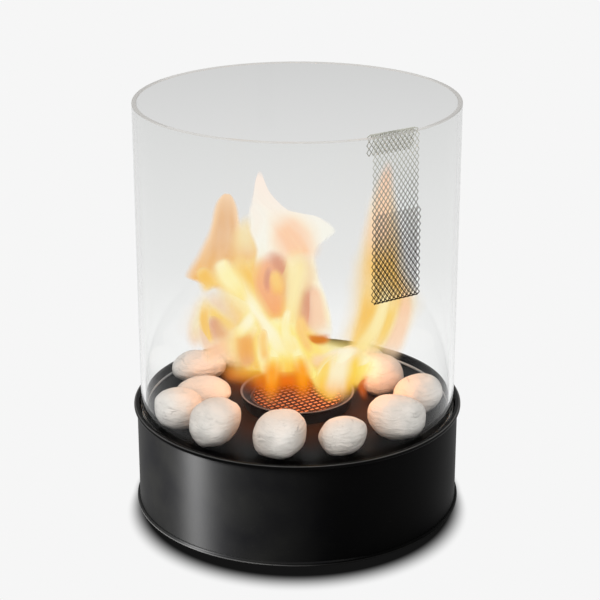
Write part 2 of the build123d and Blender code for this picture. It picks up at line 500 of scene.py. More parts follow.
@dataclass(frozen=True)
class PhotoView:
    """Camera that took the photograph, worked out from the rims' ellipses.

    Args:
        turn: Direction of the view, in degrees from +Y towards +X.
        away: Level distance from the object's axis.
        height: Height above the floor.
        aside: Level distance of the axis to the left of the view's middle.
        pitch: Angle of the view below level, in degrees.
        focal: Focal length in the photograph's pixels.
        frame: Width and height of the photograph, in pixels.
        sensor: Width of the camera's sensor.
    """

    turn: float = 33.9
    away: float = 1117.8
    height: float = 557.9
    aside: float = 1.8
    pitch: float = 20.48
    focal: float = 1803.1
    frame: float = 600.0
    sensor: float = 36.0

    def ahead(self) -> Vector:
        """Level direction of the view."""
        return Vector((math.sin(math.radians(self.turn)), math.cos(math.radians(self.turn)), 0.0))

    def right(self) -> Vector:
        """Direction to the right of the view."""
        return Vector((math.cos(math.radians(self.turn)), -math.sin(math.radians(self.turn)), 0.0))

    def eye(self) -> Vector:
        """Place of the camera, in millimetres."""
        return self.right() * self.aside - self.ahead() * self.away + Vector((0.0, 0.0, self.height))

    def point(self, column: float, row: float, depth: float) -> Vector:
        """Finds what a pixel shows in an upright plane across the view.

        Args:
            column: Pixel's column.
            row: Pixel's row.
            depth: Distance of the plane behind the object's axis, in millimetres.

        Returns:
            The point, in millimetres.
        """
        pitch = math.radians(self.pitch)
        up = self.ahead() * math.sin(pitch) + Vector((0.0, 0.0, math.cos(pitch)))
        axis = self.ahead() * math.cos(pitch) - Vector((0.0, 0.0, math.sin(pitch)))
        middle = self.frame / 2
        ray = axis * self.focal + self.right() * (column - middle) + up * (middle - row)
        return self.eye() + ray * ((self.away + depth) / ray.dot(self.ahead()))

    def beside(self, aside: float, depth: float, height: float) -> Vector:
        """Finds a point of an upright plane through the camera, which the photograph sees edge-on.

        Args:
            aside: Where the plane passes the axis, in millimetres to its right.
            depth: Distance behind the axis.
            height: Height above the floor.

        Returns:
            The point, in millimetres.
        """
        share = (self.away + depth) / self.away
        level = self.right() * (self.aside + (aside - self.aside) * share) + self.ahead() * depth
        return level + Vector((0.0, 0.0, height))

    def camera(self) -> bpy.types.Object:
        """Makes the scene's camera.

        Returns:
            The camera.
        """
        data = bpy.data.cameras.new("camera")
        data.sensor_width = self.sensor
        data.lens = self.focal * self.sensor / self.frame
        data.clip_start, data.clip_end = 0.01, 100.0
        camera = bpy.data.objects.new("camera", data)
        camera.location = self.eye() * MM
        camera.rotation_euler = Euler((math.radians(90 - self.pitch), 0.0, math.radians(-self.turn)))
        bpy.context.scene.collection.objects.link(camera)
        bpy.context.scene.camera = camera
        return camera


# Finishes


@dataclass(frozen=True)
class BlackPaint:
    """Black satin stove paint on sheet steel.

    Args:
        name: Name of the material.
        gloss: Specular level, low because the paint is nearly matt.
        roughness: Mean roughness.
        drawn: Anisotropy, from the marks of the rolling under the paint.
        brown_and_glow_radius: Radius in metres within which the paint is browned, partly by heat and partly as a
            painted reflection of the fire.
        highlight_lines: Edges with a painted highlight line, each as (radius, height, half its width) in metres.
        rubbed: Strength of those painted highlight lines, as a share.
        dark: Colour in the darker clouds of the paint.
        light: Colour in the lighter ones.
        speck: Colour of the dust in it.
        heat_brown_and_fire_glow: Colour there: heat browning and a painted reflection of the fire.
        highlight_tone: Colour of the painted highlight lines.
    """

    name: str
    gloss: float = 0.03
    roughness: float = 0.5
    drawn: float = 0.9
    brown_and_glow_radius: float = 0.0
    highlight_lines: tuple[tuple[float, float, float], ...] = ()
    rubbed: float = 1.0
    dark: Colour = (0.0006, 0.0006, 0.0007)
    light: Colour = (0.0014, 0.0014, 0.0013)
    speck: Colour = (0.02, 0.019, 0.018)
    heat_brown_and_fire_glow: Colour = (0.06, 0.017, 0.004)
    highlight_tone: Colour = (0.085, 0.084, 0.082)

    def material(self) -> bpy.types.Material:
        """Builds the material.

        Returns:
            The material.
        """
        paint = Paint(self.name)
        cloud = paint.grain(0.03, 4.0)
        peel = paint.grain(0.0011, 2.0)
        specks = paint.grain(0.0006, 1.0).rise(0.74, 0.8)
        tone = paint.ramp(cloud, (0.3, self.dark), (0.75, self.light))
        tone = paint.mix(specks * 0.2, tone, self.speck)
        rough = self.roughness + (cloud - 0.5) * 0.1
        # Browner towards the burner: heat browning, and a painted reflection of the fire on the deck.
        if self.brown_and_glow_radius:
            heat = paint.radius().rise(self.brown_and_glow_radius * 0.45, self.brown_and_glow_radius, 1.0, 0.0)
            tone = paint.mix(heat * (0.35 + cloud * 0.6), tone, self.heat_brown_and_fire_glow)
            rough = rough + heat * 0.06
        # Thin lighter lines along the lip and the seam: painted highlights where those edges catch the light.
        for radius, height, half in self.highlight_lines:
            beside = abs(paint.radius() - radius).most(abs(paint.part(paint.place(), "Z") - height))
            near = beside.rise(half * 0.4, half, 1.0, 0.0) * self.rubbed
            tone = paint.mix(near * (0.35 + cloud * 0.9).least(1.0), tone, self.highlight_tone)
        shader = paint.solid(
            Base_Color=tone,
            Roughness=rough,
            Normal=paint.bump(peel, 0.00003, 0.5),
            Specular_IOR_Level=self.gloss,
            Anisotropic=self.drawn,
            Anisotropic_Rotation=0.25,
        )
        return paint.done(shader)


@dataclass(frozen=True)
class Steel:
    """Bare or heat-coloured steel.

    Args:
        name: Name of the material.
        colour: Colour above light_from; on the collar, the light pink band along its rim is a painted highlight of the
            fire's light.
        stain_and_shade: Colour below dark_to: heat stain on collar and grille, painted shade at the basket's foot, and
            on the can simply darker below.
        light_from: Height in metres above which the metal has its upper colour.
        dark_to: Height in metres below which it has its lower colour.
        roughness: Mean roughness.
        metallic: Share of metal.
        glow: Colour that the metal gives off, a painted glow of the fire's light.
        brush: Depth of the turning marks, in metres.
        drift: How far the border between the two colours wanders up and down, in metres.
        soot: Brightness of the sooty spots against the lower colour, as a share.
    """

    name: str
    colour: Colour
    stain_and_shade: Colour
    light_from: float
    dark_to: float
    roughness: float = 0.35
    metallic: float = 1.0
    glow: Colour = (0.0, 0.0, 0.0)
    brush: float = 0.00001
    drift: float = 0.012
    soot: float = 0.45

    def material(self) -> bpy.types.Material:
        """Builds the material.

        Returns:
            The material.
        """
        paint = Paint(self.name)
        cloud = paint.grain(0.012, 4.0)
        height = paint.part(paint.place(), "Z") + (cloud - 0.5) * self.drift
        # Upper and lower colours by height: the collar's rim band is a painted highlight, and the basket's dark foot
        # is painted shade.
        lower_share = height.rise(self.dark_to, self.light_from, 1.0, 0.0)
        tone = paint.mix(lower_share, self.colour, self.stain_and_shade)
        tone = paint.mix(cloud.rise(0.45, 0.75) * 0.3, tone, dimmed(self.stain_and_shade, self.soot))
        lines = paint.grain(0.0009, 2.0, paint.stretched(paint.place(), (1.0, 1.0, 3.0)))
        rough = self.roughness + (cloud - 0.5) * 0.14 + lower_share * 0.08
        inputs = {"Base_Color": tone, "Roughness": rough, "Metallic": self.metallic}
        # The emission is a painted glow of the fire's light on the metal.
        if any(self.glow):
            inputs["Emission_Color"] = paint.mix(cloud, dimmed(self.glow, 0.5), self.glow)
            inputs["Emission_Strength"] = 1.0
        return paint.done(paint.solid(Normal=paint.bump(lines, self.brush, 0.6), **inputs))


@dataclass(frozen=True)
class ClearGlass:
    """Clear tube glass with ground ends, which lets lamps through.

    Args:
        name: Name of the material.
        tint: Colour of the glass.
        ground: Colour of its ground ends.
        bend: Refractive index, low so that the wall stays plain.
        foot: Height of its lower end in metres.
        top: Height of its upper end in metres.
    """

    name: str = "clear_glass"
    tint: Colour = (0.985, 0.99, 0.985)
    ground: Colour = (0.58, 0.565, 0.54)
    bend: float = 1.16
    foot: float = 0.066
    top: float = 0.277

    def material(self) -> bpy.types.Material:
        """Builds the material.

        Returns:
            The material.
        """
        paint = Paint(self.name)
        smear = paint.grain(0.03, 3.0).rise(0.5, 0.9)
        glass = paint.solid(Base_Color=self.tint, Roughness=smear * 0.02, Transmission_Weight=1.0, IOR=self.bend)
        height = paint.part(paint.place(), "Z")
        ground = paint.solid(Base_Color=self.ground, Roughness=0.45 + smear * 0.1, Specular_IOR_Level=0.5)
        upper = height.rise(self.top - 0.0008, self.top - 0.0004) * 0.85
        lower = height.rise(self.foot + 0.0005, self.foot + 0.0009, 1.0, 0.0)
        glass = paint.either(upper + lower, glass, ground)
        rays = paint.node("ShaderNodeLightPath")
        lamp = paint.out(rays, "Is Shadow Ray").most(paint.out(rays, "Is Diffuse Ray"))
        clear = paint.out(paint.node("ShaderNodeBsdfTransparent"))
        return paint.done(paint.either(lamp, glass, clear))


@dataclass(frozen=True)
class Chalk:
    """Off-white ceramic pebble: chalky, mottled, with hair cracks, pores and rubbed lines.

    Args:
        name: Name of the material.
        pale: Main colour.
        grey: Colour of the mottles.
        fire_lit_tint: Painted warm light of the fire, on the side towards it.
        line: Colour of the rubbed lines.
        crack: Colour in the hair cracks and pores.
    """

    name: str = "white_pebble"
    pale: Colour = (0.765, 0.742, 0.705)
    grey: Colour = (0.585, 0.562, 0.525)
    fire_lit_tint: Colour = (0.80, 0.61, 0.48)
    line: Colour = (0.5, 0.46, 0.42)
    crack: Colour = (0.46, 0.41, 0.36)

    def material(self) -> bpy.types.Material:
        """Builds the material.

        Returns:
            The material.
        """
        paint = Paint(self.name)
        place = paint.place()
        warped = paint.shifted(place, paint.swirl(0.009), 0.006)
        cloud = paint.grain(0.014, 5.0)
        hairs = paint.cracks(0.0085, paint.stretched(warped, (0.5, 0.5, 1.3))).rise(0.0, 0.017, 1.0, 0.0)
        hairs = hairs * paint.grain(0.013, 2.0).rise(0.52, 0.75)
        rubbed = paint.grain(0.0024, 4.0, paint.stretched(warped, (0.28, 0.28, 1.7)))
        pores = paint.grain(0.0009, 2.0).rise(0.68, 0.8)
        tone = paint.mix(cloud.rise(0.35, 0.75), self.pale, self.grey)
        tone = paint.mix(rubbed.rise(0.5, 0.8) * 0.35, tone, self.grey)
        # Warmer towards the axis: painted light of the fire on the sides of the pebbles that face it.
        near = (paint.radius() + (cloud - 0.5) * 0.02).rise(0.07, 0.102, 1.0, 0.0)
        tone = paint.mix(near * 0.9, tone, self.fire_lit_tint)
        tone = paint.mix(rubbed.rise(0.58, 0.7) * 0.3, tone, self.line)
        tone = paint.mix((hairs * 0.5 + pores * 0.45).least(1.0), tone, self.crack)
        height = rubbed * 0.6 + cloud * 0.6 - hairs * 0.25 - pores * 0.45
        normal = paint.bump(height, 0.0015)
        shader = paint.solid(Base_Color=tone, Roughness=0.86 + cloud * 0.1, Normal=normal, Specular_IOR_Level=0.25)
        return paint.done(shader)


@dataclass(frozen=True)
class Rubber:
    """Dull black rubber."""

    name: str = "foot_rubber"

    def material(self) -> bpy.types.Material:
        """Builds the material.

        Returns:
            The material.
        """
        paint = Paint(self.name)
        cloud = paint.grain(0.004, 3.0)
        tone = paint.mix(cloud, (0.012, 0.012, 0.012), (0.03, 0.03, 0.03))
        normal = paint.bump(paint.grain(0.0005), 0.00005, 0.5)
        return paint.done(paint.solid(Base_Color=tone, Roughness=0.75 + cloud * 0.15, Normal=normal))


@dataclass(frozen=True)
class Fibre:
    """Ceramic wadding, soaked with fuel and lit from above."""

    name: str = "fibre"

    def material(self) -> bpy.types.Material:
        """Builds the material.

        Returns:
            The material.
        """
        paint = Paint(self.name)
        threads = paint.grain(0.0012, 4.0, paint.shifted(paint.place(), paint.swirl(0.003), 0.003))
        cloud = paint.grain(0.01, 3.0)
        tone = paint.mix(threads, (0.16, 0.06, 0.03), (0.40, 0.18, 0.10))
        # The emission is a painted glow of the fire's light on the wadding, brighter towards +X.
        near = paint.part(paint.place(), "X").rise(-0.03, 0.03)
        glow = paint.mix(near, shown(170, 74, 26), shown(238, 128, 62))
        glow = paint.mix(cloud.rise(0.4, 0.7) * 0.5, glow, shown(222, 94, 26))
        normal = paint.bump(threads, 0.0008)
        shader = paint.solid(
            Base_Color=tone, Roughness=0.9 + cloud * 0.05, Normal=normal, Emission_Color=glow, Emission_Strength=1.0
        )
        return paint.done(shader)


@dataclass(frozen=True)
class Blaze:
    """Colours and edges of one kind of flame tongue, each colour as a screen shows it, from 0 to 255.

    Args:
        rim: Colour near the tongue's sides.
        heart: Colour in its middle.
        root: Colour at its foot.
        crown: Colour at its tip.
        cover: How much of what is behind it a tongue hides.
        soft: Share of the half width over which a side fades out.
        edge: Share of the half width that has the sides' colour.
        foot: Share of the length over which the foot fades in.
        tip: Share of the length over which the tip fades out.
    """

    rim: ScreenColour
    heart: ScreenColour
    root: ScreenColour
    crown: ScreenColour
    cover: float = 0.95
    soft: float = 0.5
    edge: float = 0.2
    foot: float = 0.2
    tip: float = 0.2

    def material(self, name: str) -> bpy.types.Material:
        """Builds the material.

        Args:
            name: Name that it gets.

        Returns:
            The material.
        """
        paint = Paint(name)
        sheet = paint.out(paint.node("ShaderNodeUVMap", {"uv_map": "sheet"}))
        run = paint.out(paint.node("ShaderNodeUVMap", {"uv_map": "run"}))
        flow = paint.grain(0.013, 2.0, paint.stretched(run, (1.0, 0.32, 1.0)))
        fine = paint.grain(0.0042, 2.0, paint.stretched(run, (1.0, 0.16, 1.0)))
        across = paint.part(sheet, "X") + (flow - 0.5) * 0.16
        along = paint.part(sheet, "Y") + (flow - 0.5) * 0.06
        inward = (1.0 - abs(across * 2.0 - 1.0)).most(0.0)
        deep = (inward + (flow - 0.5) * 0.4).rise(self.edge, self.edge + 0.5)
        rim, heart, root, crown = (shown(*tone) for tone in (self.rim, self.heart, self.root, self.crown))
        tone = paint.mix(deep, rim, heart)
        tone = paint.mix(along.rise(0.0, 0.5, 1.0, 0.0), tone, root)
        tone = paint.mix(along.rise(0.55, 1.0), tone, crown)
        tone = paint.mix(fine.rise(0.5, 0.85) * 0.3, tone, rim)
        tone = paint.mix(flow.rise(0.45, 0.75) * 0.3, tone, crown)
        cover = inward.rise(0.0, self.soft) * along.rise(0.0, self.foot) * along.rise(1.0 - self.tip, 1.0, 1.0, 0.0)
        cover = cover * (0.9 + fine * 0.2) * self.cover
        shader = paint.solid(
            Base_Color=(0.0, 0.0, 0.0),
            Roughness=1.0,
            Specular_IOR_Level=0.0,
            Emission_Color=tone,
            Emission_Strength=1.0,
            Alpha=cover.least(1.0),
        )
        return paint.done(shader)


class Look(Enum):
    """Kinds of flame tongue: rim, heart, root and crown, then cover, soft, edge, foot and tip."""

    CREAM = Blaze((249, 247, 236), (251, 246, 232), (255, 244, 200), (255, 238, 226), 0.97, 0.16, 0.2, 0.1, 0.07)
    SAIL = Blaze((255, 228, 190), (254, 205, 168), (255, 206, 160), (252, 238, 214), 0.95, 0.85, 0.2, 0.25, 0.4)
    TAN = Blaze((250, 212, 168), (233, 183, 132), (243, 184, 96), (248, 214, 178), 0.95, 0.34, 0.15, 0.08, 0.06)
    GOLD = Blaze((250, 214, 132), (248, 198, 100), (250, 210, 120), (250, 226, 168), 0.9, 0.75, 0.2, 0.2, 0.3)
    PALE = Blaze((255, 228, 134), (255, 244, 182), (255, 228, 136), (255, 247, 206), 0.97, 0.85, 0.2, 0.15, 0.15)
    ROSE = Blaze((255, 202, 130), (248, 180, 132), (250, 170, 108), (243, 176, 140), 0.92, 0.8, 0.25, 0.2, 0.25)
    MAUVE = Blaze((236, 172, 138), (220, 156, 126), (234, 158, 124), (220, 166, 146), 0.92, 0.95, 0.2, 0.3, 0.3)
    LENS = Blaze((252, 196, 112), (252, 208, 126), (250, 188, 104), (255, 214, 140), 0.95, 0.9, 0.2, 0.3, 0.3)
    WHITE = Blaze((255, 242, 160), (255, 248, 212), (255, 236, 150), (255, 248, 216), 0.97, 0.95, 0.25, 0.25, 0.25)
    YELLOW = Blaze((255, 216, 78), (255, 236, 130), (254, 190, 58), (255, 246, 190), 0.97, 0.85, 0.2, 0.2, 0.2)
    AMBER = Blaze((250, 196, 112), (241, 170, 88), (236, 176, 126), (246, 188, 118), 0.92, 0.85, 0.2, 0.2, 0.3)
    HAZE = Blaze((250, 226, 184), (240, 206, 174), (243, 198, 162), (244, 232, 206), 0.8, 0.9, 0.2, 0.3, 0.35)
    STRAW = Blaze((252, 230, 160), (250, 210, 112), (250, 222, 160), (250, 236, 190), 0.92, 0.95, 0.3, 0.3, 0.4)
    FIRE = Blaze((250, 140, 16), (254, 158, 20), (234, 104, 4), (255, 232, 116), 0.96, 0.95, 0.25, 0.35, 0.25)
    EMBER = Blaze((176, 74, 8), (236, 112, 0), (140, 54, 8), (250, 150, 26), 0.95, 0.9, 0.2, 0.4, 0.45)
    DUSK = Blaze((236, 160, 70), (214, 112, 6), (232, 150, 70), (226, 140, 60), 0.92, 0.8, 0.2, 0.3, 0.3)
    BLUSH = Blaze((252, 226, 200), (252, 212, 180), (250, 218, 186), (248, 198, 166), 0.85, 0.85, 0.2, 0.3, 0.3)
    HEART = Blaze((253, 212, 84), (254, 240, 200), (253, 160, 30), (252, 242, 230), 0.97, 0.6, 0.4, 0.3, 0.2)
    SILK = Blaze((252, 216, 128), (254, 238, 178), (253, 226, 140), (253, 236, 184), 0.95, 0.95, 0.2, 0.2, 0.3)
    MIST = Blaze((248, 214, 166), (246, 232, 190), (240, 190, 150), (248, 232, 200), 0.78, 1.0, 0.2, 0.3, 0.35)
    LOOP = Blaze((253, 224, 158), (252, 216, 136), (228, 160, 106), (255, 242, 196), 0.95, 0.75, 0.2, 0.4, 0.15)
    GLOW = Blaze((190, 86, 28), (206, 96, 30), (150, 66, 24), (236, 130, 60), 0.85, 0.9, 0.2, 0.4, 0.3)


def dress(piece: bpy.types.Object, material: bpy.types.Material) -> None:
    """Gives every slot of a piece one material.

    Args:
        piece: The piece.
        material: The material.
    """
    if not piece.data.materials:
        piece.data.materials.append(material)
    for slot in piece.material_slots:
        slot.material = material


# Sub-assemblies


@dataclass
class SubAssembly:
    """Pieces that are made together and ride on one CAD body.

    Args:
        body: CAD body that the pieces ride on.
    """

    frame: dict[str, Any]
    body: str

    def keep(self, node: str, material: bpy.types.Material) -> bpy.types.Object:
        """Dresses a CAD node that is shown as it is.

        Args:
            node: Name of the node.
            material: Its finish.

        Returns:
            The node's object.
        """
        piece = self.frame["nodes"][node]
        dress(piece, material)
        LOG.info("%s: CAD node kept, dressed in %s", node, material.name)
        return piece

    def mount(
        self, piece: bpy.types.Object, material: bpy.types.Material, slot: str = "", nodes: Sequence[str] = ()
    ) -> bpy.types.Object:
        """Dresses a new piece and hangs it on the body.

        Args:
            piece: The new piece.
            material: Its finish.
            slot: Material slot of the record that the finish belongs to; not used.
            nodes: CAD nodes that the piece stands for.

        Returns:
            The piece.
        """
        dress(piece, material)
        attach(piece, self.body)
        if nodes:
            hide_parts(*nodes)
        LOG.info("%s: %d faces on body %s", piece.name, len(piece.data.polygons), self.body)
        return piece


@dataclass
class Drum(SubAssembly):
    """Black sheet-steel drum with a rolled lip, a seamed foot and rubber feet."""

    wall_radius: float = 107.7
    sheet: float = 0.8
    lip_radius: float = 109.8
    lip_top: float = 71.0
    lip_under: float = 68.7
    deck_top: float = 66.0
    hole_radius: float = 31.6
    seam_radius: float = 109.4
    seam_bottom: float = 1.0
    seam_top: float = 3.7
    recess: float = 3.0
    # The folded sheet stands this far off the wall, laps over its upper edge, and is drawn in at the foot
    gap: float = 0.1
    lap: float = 0.5
    tuck: float = 0.4

    def top_outline(self) -> list[Point]:
        """Draws the sunk deck with its upstand and the rolled lip.

        Returns:
            The outline.
        """
        inside = self.wall_radius - self.sheet
        corners = [
            (self.hole_radius, self.deck_top - self.sheet),
            (self.hole_radius, self.deck_top),
            (inside - self.sheet, self.deck_top),
            (inside - self.sheet, self.lip_top),
            (self.lip_radius, self.lip_top),
            (self.lip_radius, self.lip_under),
            (self.wall_radius + self.gap, self.lip_under),
            (self.wall_radius, self.lip_under + self.lap),
            (inside, self.lip_under + self.lap),
            (inside, self.deck_top - self.sheet),
        ]
        return rounded(corners, {1: 0.3, 2: 1.1, 3: 1.0, 4: 1.1, 5: 0.9})

    def bottom_outline(self) -> list[Point]:
        """Draws the recessed bottom with its seam ring.

        Returns:
            The outline.
        """
        floor = self.seam_bottom + self.recess
        inside = self.wall_radius - self.sheet
        corners = [
            (0.0, floor),
            (inside - self.sheet, floor),
            (inside - self.sheet, self.seam_bottom),
            (self.seam_radius, self.seam_bottom),
            (self.seam_radius, self.seam_top),
            (self.wall_radius + self.gap, self.seam_top),
            (inside, self.seam_top - self.tuck),
            (inside, floor + self.sheet),
            (0.0, floor + self.sheet),
        ]
        return rounded(corners, {1: 1.0, 2: 0.8, 3: 1.0, 4: 0.8})

    def build(self) -> list[bpy.types.Object]:
        """Builds the drum.

        Returns:
            Its upright sides, which the strip lamp lights.
        """
        # The drum's paint gets a painted highlight line along the seam, and the deck's paint gets painted highlight
        # lines along the lip.
        shell = BlackPaint("black_paint", highlight_lines=((0.1094, 0.0019, 0.0006),), rubbed=0.12).material()
        # The deck's paint is browned towards the burner: heat browning, and a painted reflection of the fire.
        top = BlackPaint("deck_paint", 0.036, 0.34, 0.0, 0.084, ((0.1057, 0.0709, 0.0005), (0.109, 0.0709, 0.0006)))
        wall = self.keep("base_wall", shell)
        self.keep("feet", Rubber().material())
        deck = soften_edges(lathed("deck_with_lip", self.top_outline()), 50)
        bottom = soften_edges(lathed("bottom_with_seam", self.bottom_outline()), 50)
        self.mount(deck, top.material(), "black_steel", ("deck_plate",))
        self.mount(bottom, shell, "black_steel", ("base_bottom",))
        return [wall, bottom]


@dataclass
class GlassTube(SubAssembly):
    """Open tube of clear glass with ground ends."""

    radius: float = 105.0
    thickness: float = 3.0
    bottom: float = 66.0
    top: float = 277.0
    arris: float = 0.7

    def build(self) -> bpy.types.Object:
        """Builds the tube.

        Returns:
            The tube.
        """
        inner = self.radius - self.thickness
        corners = [(inner, self.bottom), (self.radius, self.bottom), (self.radius, self.top), (inner, self.top)]
        outline = rounded(corners, {number: self.arris for number in range(4)})
        tube = soften_edges(lathed("glass_tube", outline, 288), 60)
        return self.mount(tube, ClearGlass().material(), "clear_glass", ("glass_cylinder",))


@dataclass
class Burner(SubAssembly):
    """Dished collar, fuel can, wadding and the expanded-metal grille."""

    deck_top: float = 66.0
    mouth: float = 71.4
    sheet: float = 0.8
    rim_radius: float = 38.5
    rim_width: float = 0.9
    rim_top: float = 76.0
    skirt_radius: float = 35.3
    can_radius: float = 31.0
    flange: float = 2.4
    cell: Point = (5.85, 5.9)
    strand: float = 1.2
    grille_turn: float = -46.7
    # The ring that holds the grille: its inner radius, the gap round it, and its heights over the mouth
    ring_inner: float = 29.7
    ring_gap: float = 0.25
    ring_sides: Point = (0.1, 0.95)
    # How far the strands go into the ring, their height over the mouth, and how far their joints stand up and down
    let_in: float = 0.3
    strand_height: float = 0.5
    twist: float = 0.12

    def collar_outline(self) -> list[Point]:
        """Draws the dished collar, its rim rolled.

        Returns:
            The outline.
        """
        inner = self.can_radius + self.sheet
        corners = [
            (inner, self.mouth),
            (inner, self.mouth + self.sheet),
            (self.rim_radius - self.rim_width, self.rim_top),
            (self.rim_radius, self.rim_top),
            (self.skirt_radius, self.deck_top),
            (self.skirt_radius - self.sheet, self.deck_top),
            (self.rim_radius - self.rim_width - self.sheet / 2, self.rim_top - 1.5 * self.sheet),
            (self.can_radius + self.flange, self.mouth),
        ]
        return rounded(corners, {1: 0.3, 2: 0.4, 3: 0.45, 4: 0.2})

    def grille(self) -> bpy.types.Object:
        """Makes the grille from the openings between its strands.

        Returns:
            The strands.
        """
        wide, tall = self.cell
        reach = self.ring_inner + self.let_in
        count = int(reach / min(wide, tall)) + 2
        turn = math.radians(self.grille_turn)
        middle = self.mouth + self.strand_height
        vertices: list[Sequence[float]] = []
        index: dict[tuple[int, int], int] = {}
        faces = []

        def corner(column: int, row: int) -> int:
            """Finds or adds a lattice corner, pulled in to the ring.

            Args:
                column: Half cells across.
                row: Half cells along.

            Returns:
                The corner's number.
            """
            if (column, row) not in index:
                place = Vector((column * wide / 2, row * tall / 2))
                if place.length > reach:
                    place = place.normalized() * reach
                lift = self.twist if column % 2 else -self.twist
                turned = (
                    place.x * math.cos(turn) - place.y * math.sin(turn),
                    place.x * math.sin(turn) + place.y * math.cos(turn),
                )
                index[column, row] = len(vertices)
                vertices.append((*turned, middle + lift))
            return index[column, row]

        for row in range(-2 * count, 2 * count + 1):
            for column in range(-2 * count, 2 * count + 1):
                if (row + column) % 2 or math.hypot(column * wide / 2, row * tall / 2) > reach:
                    continue
                faces.append([corner(column + across, row + along) for across, along in AROUND])
        return wired(mesh_object("grille_strands", vertices, faces, smooth=False), self.strand)

    def build(self) -> None:
        """Builds the burner."""
        # The collar's light pink band along the top of its rim is a painted highlight of the fire's light; below it
        # the collar is heat-stained.
        collar_steel = Steel(
            "collar_steel", (0.42, 0.28, 0.22), (0.035, 0.016, 0.009), 0.0759, 0.0752, 0.4, 0.8, drift=0.0005
        )
        # The can is darker towards its foot.
        can_steel = Steel("can_steel", (0.42, 0.40, 0.37), (0.30, 0.29, 0.27), 0.06, 0.02, 0.38)
        # The grille's emission is a painted glow of the fire's light.
        grille_steel = Steel(
            "grille_steel", (0.10, 0.034, 0.014), (0.08, 0.026, 0.01), 0.1, 0.05, 0.5, 0.5, (0.03, 0.006, 0.001)
        )
        collar = soften_edges(lathed("collar", self.collar_outline(), 160), 40)
        self.mount(collar, collar_steel.material(), "burner_steel", ("burner_collar",))
        hot = grille_steel.material()
        self.mount(self.grille(), hot, "grille_steel", ("burner_grille",))
        low, high = (self.mouth + height for height in self.ring_sides)
        outer = self.can_radius + self.sheet - self.ring_gap
        ring_corners = [(self.ring_inner, low), (outer, low), (outer, high), (self.ring_inner, high)]
        ring = lathed("grille_ring", rounded(ring_corners, {number: 0.2 for number in range(4)}, 3), 128)
        self.mount(soften_edges(ring), hot, "grille_steel")
        self.keep("fuel_can", can_steel.material())
        self.keep("ceramic_fibre", Fibre().material())


@dataclass
class ScentBasket(SubAssembly):
    """Strip of expanded stainless steel: hook in the glass, arch over its rim, leg, fold, and pocket flap."""

    width: float = 34.0
    cell: Point = (3.26, 4.42)
    strand: float = 0.7
    hook: float = 99.673
    leg: float = 106.0
    flap: float = 109.4
    hook_low: float = 265.0
    top: float = 278.8
    fold: float = 174.4
    flap_top: float = 232.0
    hook_bend: float = 3.1
    fold_bend: float = 1.6
    lean: float = 0.5
    # How far the openings of the flap and of the hook lie to the left of the leg's, and back along the strip
    flap_slip: Point = (0.45, 0.95)
    hook_slip: Point = (0.2, 0.8)
    # Rows of the flap, and length of the hook, over which that slip comes in
    flap_rows: int = 4
    hook_run: float = 3.0
    # How far each corner strays to either side, and the seed of that
    wander: float = 0.06
    seed: int = 5

    def path(self) -> list[Vector]:
        """Draws the strip's middle line from the hook's end to the flap's.

        Returns:
            Its points, as (distance from the axis, height).
        """
        corners = [
            (self.hook, self.hook_low),
            (self.hook, self.top),
            (self.leg, self.top),
            (self.leg, self.fold),
            (self.flap, self.fold),
            (self.flap, self.flap_top),
        ]
        bends = {1: self.hook_bend, 2: self.hook_bend, 3: self.fold_bend, 4: self.fold_bend}
        return [Vector(corner) for corner in rounded(corners, bends, 6)]

    def build(self) -> bpy.types.Object:
        """Builds the strip as the openings along its path, and turns them into strands.

        Returns:
            The strands.
        """
        path = self.path()
        lengths = [0.0]
        for before, after in zip(path, path[1:]):
            lengths.append(lengths[-1] + (after - before).length)
        wide, tall = self.cell
        columns = round(2 * self.width / wide)
        step_across, step_along = self.width / columns, tall / 2
        turning = Vector(((self.leg + self.flap) / 2, self.fold))
        folded = lengths[min(range(len(path)), key=lambda number: (path[number] - turning).length)]
        first, last = -round(folded / step_along), round((lengths[-1] - folded) / step_along)
        rnd = random.Random(self.seed)
        vertices: list[Sequence[float]] = []
        index: dict[tuple[int, int], int] = {}

        def corner(column: int, row: int) -> int:
            """Finds or adds a lattice corner.

            Args:
                column: Half cells across.
                row: Half cells along, from the fold.

            Returns:
                The corner's number.
            """
            if (column, row) not in index:
                turned_up = min(max(row / self.flap_rows, 0.0), 1.0)
                run = folded + row * step_along
                hooked = min(max((self.top - self.hook_low - run) / self.hook_run, 0.0), 1.0)
                run = min(max(run - self.flap_slip[1] * turned_up - self.hook_slip[1] * hooked, 0.0), lengths[-1])
                number = max(1, next((n for n, length in enumerate(lengths) if length >= run), len(lengths) - 1))
                share = (run - lengths[number - 1]) / max(lengths[number] - lengths[number - 1], 1e-9)
                place = path[number - 1].lerp(path[number], min(share, 1.0))
                across = -self.width / 2 + column * step_across + rnd.uniform(-self.wander, self.wander)
                across -= self.hook_slip[0] * hooked + self.flap_slip[0] * turned_up
                across -= self.lean * max(0.0, place.y - self.fold) / (self.top - self.fold)
                index[column, row] = len(vertices)
                vertices.append((across, -place.x, place.y))
            return index[column, row]

        faces = []
        for row in range(first + 1, last):
            for column in range(1, columns):
                if (row + column) % 2 == 0:
                    faces.append([corner(column + across, row + along) for across, along in AROUND])
        strip = wired(mesh_object("basket_strands", vertices, faces, smooth=False), self.strand)
        # The strip is darker towards its foot: painted shade, where its strands stand dark against the flame behind.
        steel = Steel("basket_steel", (0.62, 0.62, 0.55), (0.02, 0.009, 0.004), 0.275, 0.197, 0.36)
        return self.mount(strip, steel.material(), "basket_steel", ("scent_basket",))


